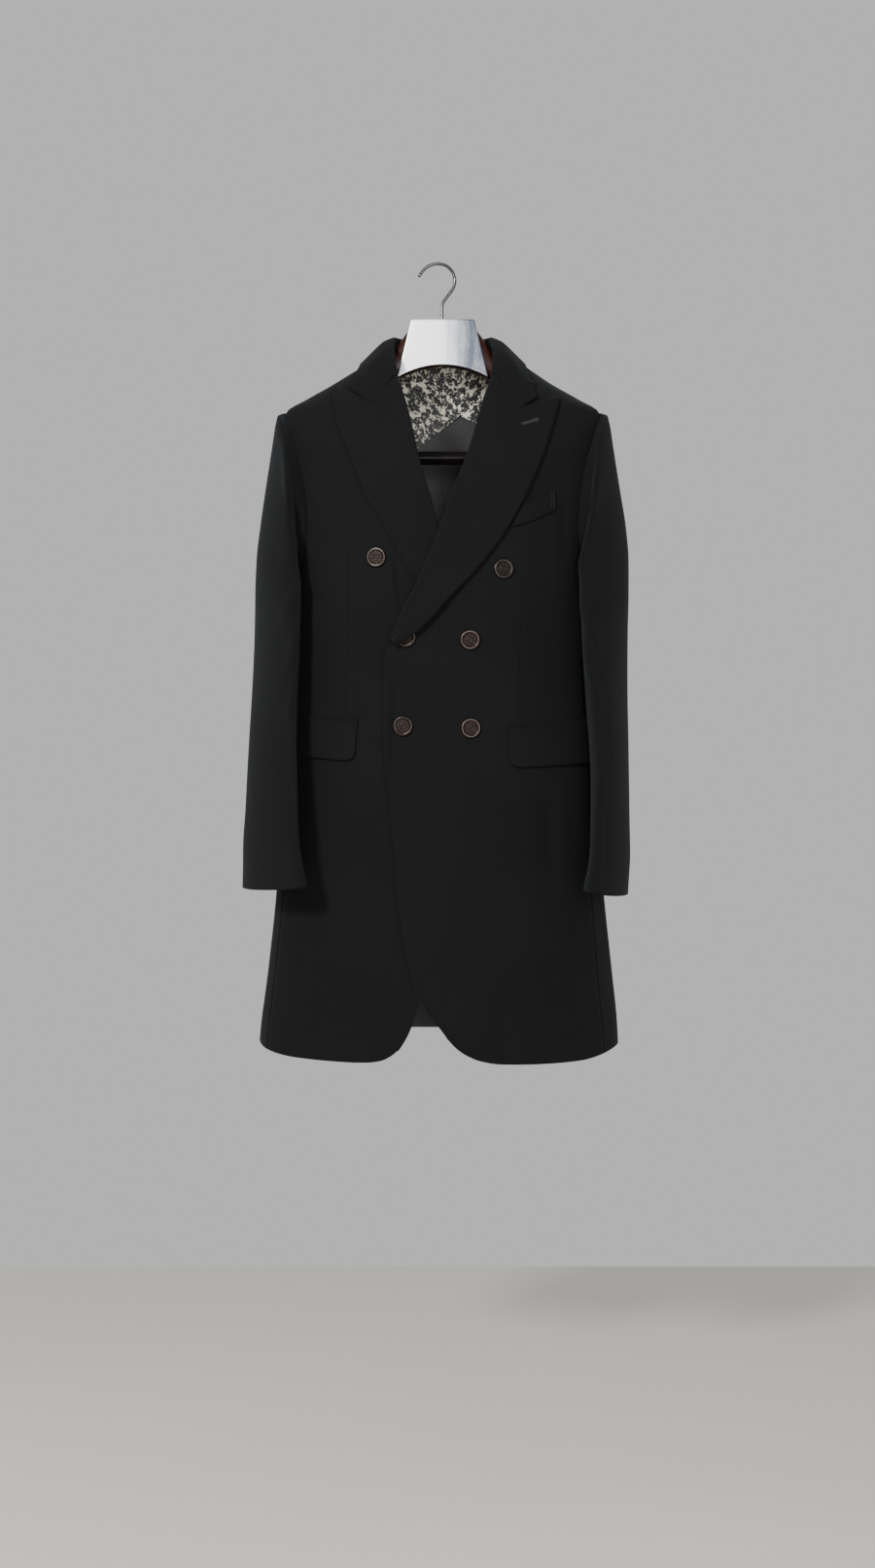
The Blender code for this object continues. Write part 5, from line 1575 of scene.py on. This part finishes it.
def build_button(name, x, height, side):
    """One turned button: raised rim, dished field with small petals, and a centre ring."""
    turn = np.linspace(0.0, 2.0 * math.pi, BUTTON_SIDES, endpoint=False)
    rings = np.concatenate((np.linspace(0.0, BUTTON_FIELD_END, 24)[1:],
                            np.linspace(BUTTON_FIELD_END, 1.0, 20)[1:]))
    across = rings[:, None] + 0.0 * turn
    petals = np.abs(np.cos(PETALS / 2.0 * turn)) ** PETAL_ROUNDNESS
    relief = (PETAL_HEIGHT * bell(across, PETAL_PLACE, PETAL_WIDTH) * petals
              + TEETH_HEIGHT * bell(across, TEETH_PLACE, TEETH_WIDTH) * np.cos(TEETH * turn))
    up = BUTTON_PROFILE.at("up", across) + relief
    # Tone by height: dark patina low down, rubbed metal with a painted highlight up on the rims.
    tone = np.clip((up - DARK_LEVEL) / (BRIGHT_LEVEL - DARK_LEVEL), 0.0, 1.0)
    for reach, level in BUTTON_BACK:
        across, up, tone = (np.vstack((rows, np.full_like(turn, value))) for rows, value in (
            (across, reach), (up, level), (tone, BUTTON_BACK_TONE)))
    circles = np.stack((across * np.cos(turn), across * np.sin(turn), up), axis=-1)
    centre = (0.0, 0.0, float(BUTTON_PROFILE.at("up", 0.0)))
    points = np.concatenate(([centre], circles.reshape(-1, 3), [(0.0, 0.0, 0.0)]))
    rub_and_highlight_tones = np.concatenate((tone[0, :1], tone.ravel(), [BUTTON_BACK_TONE]))
    end = len(points) - 1
    last = end - BUTTON_SIDES
    steps = [(step, (step + 1) % BUTTON_SIDES) for step in range(BUTTON_SIDES)]
    faces = [(0, 1 + step, 1 + after) for step, after in steps]
    faces += [(a, d, c, b) for a, b, c, d in band_faces(len(circles), BUTTON_SIDES, 1)]
    faces += [(last + step, end, last + after) for step, after in steps]
    seat = over_front(side, x, height, CLOTH / 2.0 + BUTTON_SEAT) + CENTRED
    facing = Vector(body_normal(angle_at(x, height), height))
    turned = np.array(facing.to_track_quat("Z", "Y").to_matrix())
    placed = (points * vector(BUTTON_RADIUS, BUTTON_RADIUS, BUTTON_RISE)) @ turned.T + seat
    piece = plain_mesh(f"{name}_metal", placed, faces, material("antique_copper", copper))
    # Each point's tone, read by the copper: patina in the hollows, rub and painted highlight on
    # the raised rims.
    layer = piece.data.attributes.new("raised", "FLOAT", "POINT")
    layer.data.foreach_set("value", rub_and_highlight_tones.astype(np.float32))
    stand_for(piece, name)


class OVERCOAT_OT_buttons(bpy.types.Operator):
    """Build the six metal buttons"""

    bl_idname = "overcoat.buttons"
    bl_label = "Buttons"

    def execute(self, context):
        for name, (x, height, side) in BUTTONS.items():
            build_button(name, x, height, side)
        return {"FINISHED"}


# Sewing

# A stitch's tapered bead: how far along it, and how thick it is there
STITCH_BEAD = ((-0.5, 0.25), (-0.3, 0.85), (0.0, 1.0), (0.3, 0.85), (0.5, 0.25))
STITCH_SIDES = 6
THREAD_LIFT = 0.0002
# The buttonhole's two ends on the left lapel, by x and height, and its parts
BUTTONHOLE = ((0.1062, -0.2349), (0.1262, -0.2278))
BUTTONHOLE_STITCHES = 34
BUTTONHOLE_STITCH = (0.0022, 0.00030)
BUTTONHOLE_HALF = 0.0010
STITCH_SLANT = 0.15
EYE_SWELL = 0.0009
EYE_RADIUS = 0.0019
EYE_TURN = 80.0
EYE_STITCHES = 9
BAR_TACKS = 5
BAR_HALF = 0.0014
BAR_OFFSET = 0.0006
SLIT_STEPS = 12
SLIT_HALF = 0.00028
SLIT_LIFT = 0.00025
# The welt's end stitching: its two rows, by their distance from the end
WELT_ROWS = (0.0012, 0.0050)
WELT_STITCHES = 13
WELT_STITCH = (0.0017, 0.00028)
WELT_STITCH_LIFT = 0.0001
WELT_STITCH_START = 0.06


def stitches(name, threads, size):
    """Short threads, each a small bead sunk into the cloth, by place, direction and normal."""
    length, radius = size
    turns = [2.0 * math.pi * corner / STITCH_SIDES for corner in range(STITCH_SIDES)]
    points = []
    faces = []
    for place, direction, normal in threads:
        start = len(points)
        aside = np.cross(normal, direction)
        for along, thick in STITCH_BEAD:
            middle = place + direction * along * length
            points += [middle + (aside * math.cos(turn) + normal * math.sin(turn))
                       * thick * radius for turn in turns]
        last = len(points) - STITCH_SIDES
        faces += band_faces(len(STITCH_BEAD), STITCH_SIDES, start)
        faces += [tuple(range(start, start + STITCH_SIDES))[::-1],
                  tuple(range(last, last + STITCH_SIDES))]
    sew_on(plain_mesh(name, points, faces, material("sewing_thread", twisted_thread)))


def lapel_frame(x, height):
    """Point on the left lapel's upper face with its normal, by x and height."""
    rest = float(LAPEL_ROLL["left"].at("rest", height))
    point = over_front("left", x, height, rest + CLOTH / 2.0) + CENTRED
    return point, body_normal(angle_at(x, height), height)


def sew_buttonhole():
    """The lapel's keyhole buttonhole: its worked edge and the slit between."""
    (start, normal_a), (end, normal_b) = (lapel_frame(*place) for place in BUTTONHOLE)
    along = unit(end - start)
    normal = unit(normal_a + normal_b)
    aside = np.cross(normal, along)
    line = along * float(np.linalg.norm(end - start))
    lift = normal * THREAD_LIFT
    threads = []
    for row in (-1.0, 1.0):
        for share in np.linspace(0.0, 1.0, BUTTONHOLE_STITCHES):
            wide = BUTTONHOLE_HALF + EYE_SWELL * bell(share, 0.95, 0.08)
            threads.append((start + line * share + aside * row * wide + lift,
                            unit(aside * row + along * STITCH_SLANT), normal))
    for turn in np.radians(np.linspace(-EYE_TURN, EYE_TURN, EYE_STITCHES)):
        outward = along * math.cos(turn) + aside * math.sin(turn)
        threads.append((end + outward * EYE_RADIUS + lift, outward, normal))
    for off in np.linspace(-BAR_HALF, BAR_HALF, BAR_TACKS):
        threads.append((start - along * BAR_OFFSET + aside * off + lift, along, normal))
    stitches("lapel_buttonhole_thread", threads, BUTTONHOLE_STITCH)
    points = []
    for share in np.linspace(0.0, 1.0, SLIT_STEPS):
        wide = SLIT_HALF + EYE_SWELL * bell(share, 0.96, 0.05)
        middle = start + line * share + normal * SLIT_LIFT
        points += [middle - aside * wide, middle + aside * wide]
    faces = [(first, first + 1, first + 3, first + 2)
             for first in range(0, 2 * SLIT_STEPS - 2, 2)]
    slit = plain_mesh("lapel_buttonhole_slit", points, faces, lining())
    slit.data.uv_layers.new(name="cloth")
    sew_on(slit)


def sew_welt_end():
    """Two rows of small stitches that hold the welt's outer end."""
    upper, lower = np.array((WELT["upper"][1], WELT["lower"][1]))
    over_welt = 1.5 * CLOTH + 2.0 * SEAM_GAP + WELT_STITCH_LIFT
    threads = []
    for inset in WELT_ROWS:
        for share in np.linspace(WELT_STITCH_START, 1.0 - WELT_STITCH_START, WELT_STITCHES):
            x, height = mix(upper, lower, share) - (inset, 0.0)
            threads.append((over_front("left", x, height, over_welt) + CENTRED,
                            vector(0.0, 0.0, 1.0), body_normal(angle_at(x, height), height)))
    stitches("welt_end_thread", threads, WELT_STITCH)


class OVERCOAT_OT_sewing(bpy.types.Operator):
    """Sew the lapel's buttonhole and the end of the breast welt"""

    bl_idname = "overcoat.sewing"
    bl_label = "Sewing"

    def execute(self, context):
        sew_buttonhole()
        sew_welt_end()
        return {"FINISHED"}


# Hanger

WOOD_TOP = -0.0820
WOOD_SIDES = 40
# The wood's section by the distance from its middle
WOOD = Table("across top foot half_depth", (
    (0, -82, -140.5, 13), (36, -82, -147, 13), (40, -83.8, -149, 13.2), (48, -92.2, -152, 13.8),
    (62, -111.8, -158, 14.5), (74, -130, -164, 15.5), (105, -144, -176, 18),
    (140, -164, -194, 20), (174, -186.8, -213, 21), (177.8, -189, -218, 21),
    (178.2, -189.2, -280, 20.5), (196, -200, -281, 18), (204, -206, -273, 12),
))
WOOD_SQUARENESS = 2.8
# Rings close together where the arm grows deeper at the end of the bar
BLOCK_RINGS = (0.1774, 0.1778, 0.1780, 0.1782, 0.1786)
# The bar between the arms' blocks
BAR_RADIUS = 0.0095
BAR_HEIGHT = -0.2680
BAR_RINGS = 12
BAR_SIDES = 40
BLOCK_INNER = 0.1780
# The wire from its tip to the stem: across, and down from the hook's top
HOOK_LINE = (
    (-0.0262, 0.0182), (-0.0228, 0.0133), (-0.0165, 0.0062), (-0.0086, 0.0017), (0.0004, 0.0),
    (0.0090, 0.0014), (0.0166, 0.0062), (0.0222, 0.0142), (0.0243, 0.0236), (0.0222, 0.0330),
    (0.0160, 0.0425), (0.0096, 0.0512), (0.0066, 0.0570), (0.0060, 0.0640),
)
STEM_X = 0.006
WIRE_RADIUS = 0.0021
WIRE_SIDES = 28
WIRE_RINGS = 120
# The tip is rounded: shares of the wire's radius at its first two rings
WIRE_TIP = (0.55, 0.90)
# The plate on the neck: half its width at the top and foot, and its arched foot
COVER_TOP_HALF = 0.0430
COVER_FOOT_HALF = 0.0621
COVER_TOP = -0.0791
COVER_FOOT = -0.1572
COVER_ARCH = 0.0170
COVER_WALL = 0.0020
COVER_FACE = 0.0158
COVER_BOW = 0.0012


def wood_grid():
    """Fine rings of the hanger's wood, from one end to the other."""
    half = np.concatenate((np.linspace(0.0, 0.036, 10), np.linspace(0.037, 0.176, 60),
                           BLOCK_RINGS, np.linspace(0.180, 0.204, 20)))
    across = np.concatenate((-half[:0:-1], half))
    size = WOOD.rows_at(np.abs(across))
    top, foot, half_depth = size[:, 1:2], size[:, 2:3], size[:, 3:4]
    turn = np.linspace(0.0, 2.0 * math.pi, WOOD_SIDES, endpoint=False)[None, :]
    deep = half_depth * squared(np.cos(turn), WOOD_SQUARENESS)
    high = (top - foot) / 2.0 * squared(np.sin(turn), WOOD_SQUARENESS)
    x = COAT_CENTRE + across[:, None] + 0.0 * turn
    return np.stack((x, deep, (top + foot) / 2.0 + high), axis=-1)


def wire_rings(points, radii, sides):
    """Rings round a bent wire, square to its line, at radii along it."""
    tangents = unit(np.gradient(points, axis=0))
    turn = np.linspace(0.0, 2.0 * math.pi, sides, endpoint=False)[:, None]
    sideways = vector(0.0, 1.0, 0.0)
    rings = []
    for point, tangent, radius in zip(points, tangents, radii):
        across = unit(sideways - tangent * np.dot(sideways, tangent))
        other = np.cross(tangent, across)
        rings.append(point + (across * np.cos(turn) + other * np.sin(turn)) * radius)
    return np.array(rings)


def hook_line():
    """The wire's middle line: an open arc over the rod, and a bend back to the stem."""
    points = np.array([(x, 0.0, WIRE_RADIUS - drop) for x, drop in HOOK_LINE]
                      + [(STEM_X, 0.0, WOOD_TOP + 2.0 * SEAM_GAP)])
    places = lengths_along(np.linalg.norm(np.diff(points, axis=0), axis=1))
    return curve_through(places, points, np.linspace(0.0, places[-1], WIRE_RINGS))


def cover_grid():
    """Fine grid of the plate on the hanger's neck, with its arched foot."""
    share = np.linspace(-1.0, 1.0, 64)[None, :]
    part = np.linspace(0.0, 1.0, 40)[:, None]
    swell = 1.0 - share ** 2
    half = mix(COVER_TOP_HALF, COVER_FOOT_HALF, part)
    height = mix(COVER_TOP, COVER_FOOT + COVER_ARCH * swell, part)
    return np.stack(np.broadcast_arrays(share * half, -COVER_FACE - COVER_BOW * swell, height),
                    axis=-1)


class OVERCOAT_OT_hanger(bpy.types.Operator):
    """Build the hanger: wooden arms, trouser bar, silver plate and wire hook"""

    bl_idname = "overcoat.hanger"
    bl_label = "Hanger"

    def execute(self, context):
        colour = colours()
        mahogany = material("dark_mahogany", wood, colour.wood_dark, colour.wood_light, 0.12)
        blackened = material("blackened_wood", wood, colour.bar_dark, colour.bar_light, 0.06)
        arms = closed_tube("hanger_wood_arms", wood_grid(), mahogany)
        end = BLOCK_INNER - SEAM_GAP
        line = np.linspace(vector(COAT_CENTRE - end, 0.0, BAR_HEIGHT),
                           vector(COAT_CENTRE + end, 0.0, BAR_HEIGHT), BAR_RINGS)
        rings = wire_rings(line, np.full(BAR_RINGS, BAR_RADIUS), BAR_SIDES)
        bar = closed_tube("hanger_trouser_bar", rings, blackened)
        radii = np.full(WIRE_RINGS, WIRE_RADIUS)
        radii[:2] *= WIRE_TIP
        hook = closed_tube("hanger_hook_wire", wire_rings(hook_line(), radii, WIRE_SIDES),
                           material("polished_steel", steel))
        plate = shell("hanger_cover_plate", cover_grid(), FORWARD, COVER_WALL,
                      (material("satin_silver", silver),))
        stand_for(arms, "hanger_wood")
        stand_for(bar, "hanger_bar")
        stand_for(hook, "hanger_hook")
        stand_for(plate, "hanger_cover")
        return {"FINISHED"}


# Stage

FLOOR_HEIGHT = -1.62
FLOOR_FRONT = -6.0
FLOOR_BACK = 1.09
FLOOR_HALF = 3.6
SURROUNDINGS = (0.93, 0.925, 0.915, 1.0)
SURROUNDINGS_STRENGTH = 0.64
# Each light: its place, the length of its sides, and its power in watts
LIGHTS = {
    "key_light": ((-1.35, -2.65, 0.62), 0.45, 92.0),
    "fill_light": ((0.5, -3.1, -0.35), 1.2, 42.0),
}
LIGHT_AIM = (0.0, 0.0, -0.55)
CAMERA_PLACE = (0.0, -3.2, -0.721)
CAMERA_LENS = 52.85
CAMERA_SENSOR = 36.0


class OVERCOAT_OT_stage(bpy.types.Operator):
    """Set the floor, the soft lights, the pale surroundings and the camera"""

    bl_idname = "overcoat.stage"
    bl_label = "Stage"

    def execute(self, context):
        corners = [(x, y, FLOOR_HEIGHT) for x, y in (
            (-FLOOR_HALF, FLOOR_FRONT), (FLOOR_HALF, FLOOR_FRONT),
            (FLOOR_HALF, FLOOR_BACK), (-FLOOR_HALF, FLOOR_BACK))]
        floor = plain_mesh("floor", corners, [(0, 1, 2, 3)], material("pale_floor", matt_floor))
        world = bpy.data.worlds.new("pale_surroundings")
        world.use_nodes = True
        background = world.node_tree.nodes["Background"]
        background.inputs["Color"].default_value = SURROUNDINGS
        background.inputs["Strength"].default_value = SURROUNDINGS_STRENGTH
        context.scene.world = world
        for name, (place, size, power) in LIGHTS.items():
            data = bpy.data.lights.new(name, "AREA")
            data.shape = "RECTANGLE"
            data.size = data.size_y = size
            data.energy = power
            light = linked_object(name, data)
            light.location = place
            aim = Vector(LIGHT_AIM) - Vector(place)
            light.rotation_euler = aim.to_track_quat("-Z", "Y").to_euler()
        camera = bpy.data.cameras.new("camera")
        camera.sensor_width = CAMERA_SENSOR
        camera.lens = CAMERA_LENS
        viewer = linked_object("camera", camera)
        viewer.location = CAMERA_PLACE
        viewer.rotation_euler = (math.radians(90.0), 0.0, 0.0)
        context.scene.camera = viewer
        return {"FINISHED"}


# Sidebar

def colour_property(name, description, default):
    """Colour property with its default."""
    return FloatVectorProperty(name=name, description=description, default=default, size=3,
                               min=0.0, max=1.0, subtype="COLOR")


class OvercoatSizes(bpy.types.PropertyGroup):
    """Sizes of the coat's finish"""

    crease_share: FloatProperty(
        name="Creases", description="Share of each crease's own depth", default=1.0,
        min=0.0, max=2.0, subtype="FACTOR")
    seam_ditch: FloatProperty(
        name="Seam ditch", description="How deep the cloth sinks at a seam", default=0.0008,
        min=0.0, max=0.003, unit="LENGTH")
    seam_swell: FloatProperty(
        name="Seam swell", description="How high the cloth swells beside a seam",
        default=0.00025, min=0.0, max=0.002, unit="LENGTH")
    weave_pitch: FloatProperty(
        name="Weave pitch", description="Distance between the twill's ribs", default=0.0017,
        min=0.0005, max=0.005, unit="LENGTH")


class OvercoatColours(bpy.types.PropertyGroup):
    """Colours of the coat and its hanger"""

    wool_dark: colour_property("Wool, dark", "Wool between its ribs", (0.0021, 0.0022, 0.0024))
    wool_light: colour_property("Wool, light", "Wool on its ribs", (0.0090, 0.0094, 0.0100))
    # Painted shade, laid along every rim and down each sewn line of the wool.
    painted_line_shade: colour_property("Seam shade", "Wool down in a sewn line", (0.003, 0.003, 0.0032))
    satin_dark: colour_property("Plain lining, dark", "Plain lining in shade",
                                (0.0028, 0.0030, 0.0032))
    satin_light: colour_property("Plain lining, light", "Plain lining's threads",
                                 (0.0088, 0.0096, 0.0100))
    lining_ground: colour_property("Lining ground", "Charcoal of the mottled lining",
                                   (0.0095, 0.010, 0.0108))
    lining_grey: colour_property("Lining grey", "Grey patches of the mottled lining",
                                 (0.038, 0.042, 0.047))
    lining_cream: colour_property("Lining cream", "Flecks of the mottled lining",
                                  (0.900, 0.860, 0.700))
    copper_dark: colour_property("Copper, dark", "Buttons in their recesses",
                                 (0.010, 0.0075, 0.0068))
    # Bright end of the buttons: rubbed copper with a painted highlight on the raised rims.
    copper_rub_and_highlight: colour_property("Copper, bright", "Buttons where they are rubbed",
                                  (0.038, 0.027, 0.0225))
    wood_dark: colour_property("Wood, dark", "Dark grain of the hanger", (0.016, 0.0036, 0.0022))
    wood_light: colour_property("Wood, light", "Light grain of the hanger",
                                (0.036, 0.0084, 0.0048))
    bar_dark: colour_property("Bar, dark", "Dark grain of the trouser bar",
                              (0.0025, 0.0020, 0.0019))
    bar_light: colour_property("Bar, light", "Light grain of the trouser bar",
                               (0.0080, 0.0055, 0.0048))
    # The plate's silver at the peak of its painted highlight, then its painted shade, streaked by
    # brush marks.
    silver: colour_property("Silver", "Plate on the hanger's neck", (0.90, 0.91, 0.935))
    silver_brush_and_painted_shade: colour_property("Silver, shaded", "Brush marks of the plate",
                                  (0.10, 0.115, 0.15))
    steel: colour_property("Steel", "Hook's wire", (0.135, 0.135, 0.142))
    steel_shade: colour_property("Steel, shaded", "Drawing marks of the wire",
                                 (0.080, 0.080, 0.084))
    thread: colour_property("Thread", "Sewing thread", (0.0145, 0.0152, 0.0162))
    floor: colour_property("Floor", "Floor's light tone", (0.72, 0.70, 0.67))
    floor_shade: colour_property("Floor, shaded", "Floor's darker tone", (0.62, 0.60, 0.57))


STEPS = ("fronts", "sides", "backs", "lapels", "collar", "sleeves", "pockets", "welt", "yoke",
         "buttons", "sewing", "hanger", "stage")


class OVERCOAT_PT_panel(bpy.types.Panel):
    """Sidebar panel with the coat's sizes, colours and pieces"""

    bl_idname = "OVERCOAT_PT_panel"
    bl_label = "Overcoat"
    bl_space_type = "VIEW_3D"
    bl_region_type = "UI"
    bl_category = "Overcoat"

    def draw(self, context):
        for group in (context.scene.overcoat_sizes, context.scene.overcoat_colours):
            box = self.layout.box()
            for key in group.__annotations__:
                box.prop(group, key)
        for step in STEPS:
            self.layout.operator(f"overcoat.{step}")


CLASSES = (
    OvercoatSizes, OvercoatColours, OVERCOAT_OT_fronts, OVERCOAT_OT_sides, OVERCOAT_OT_backs,
    OVERCOAT_OT_lapels, OVERCOAT_OT_collar, OVERCOAT_OT_sleeves, OVERCOAT_OT_pockets,
    OVERCOAT_OT_welt, OVERCOAT_OT_yoke, OVERCOAT_OT_buttons, OVERCOAT_OT_sewing,
    OVERCOAT_OT_hanger, OVERCOAT_OT_stage, OVERCOAT_PT_panel,
)


def register():
    """Register the classes and put the settings on the scene."""
    for cls in CLASSES:
        bpy.utils.register_class(cls)
    bpy.types.Scene.overcoat_sizes = PointerProperty(type=OvercoatSizes)
    bpy.types.Scene.overcoat_colours = PointerProperty(type=OvercoatColours)


def unregister():
    """Take the settings and the classes away."""
    del bpy.types.Scene.overcoat_colours
    del bpy.types.Scene.overcoat_sizes
    for cls in reversed(CLASSES):
        bpy.utils.unregister_class(cls)


def main():
    """Build every piece in order."""
    register()
    for step in STEPS:
        getattr(bpy.ops.overcoat, step)()


if __name__ == "__main__":
    main()
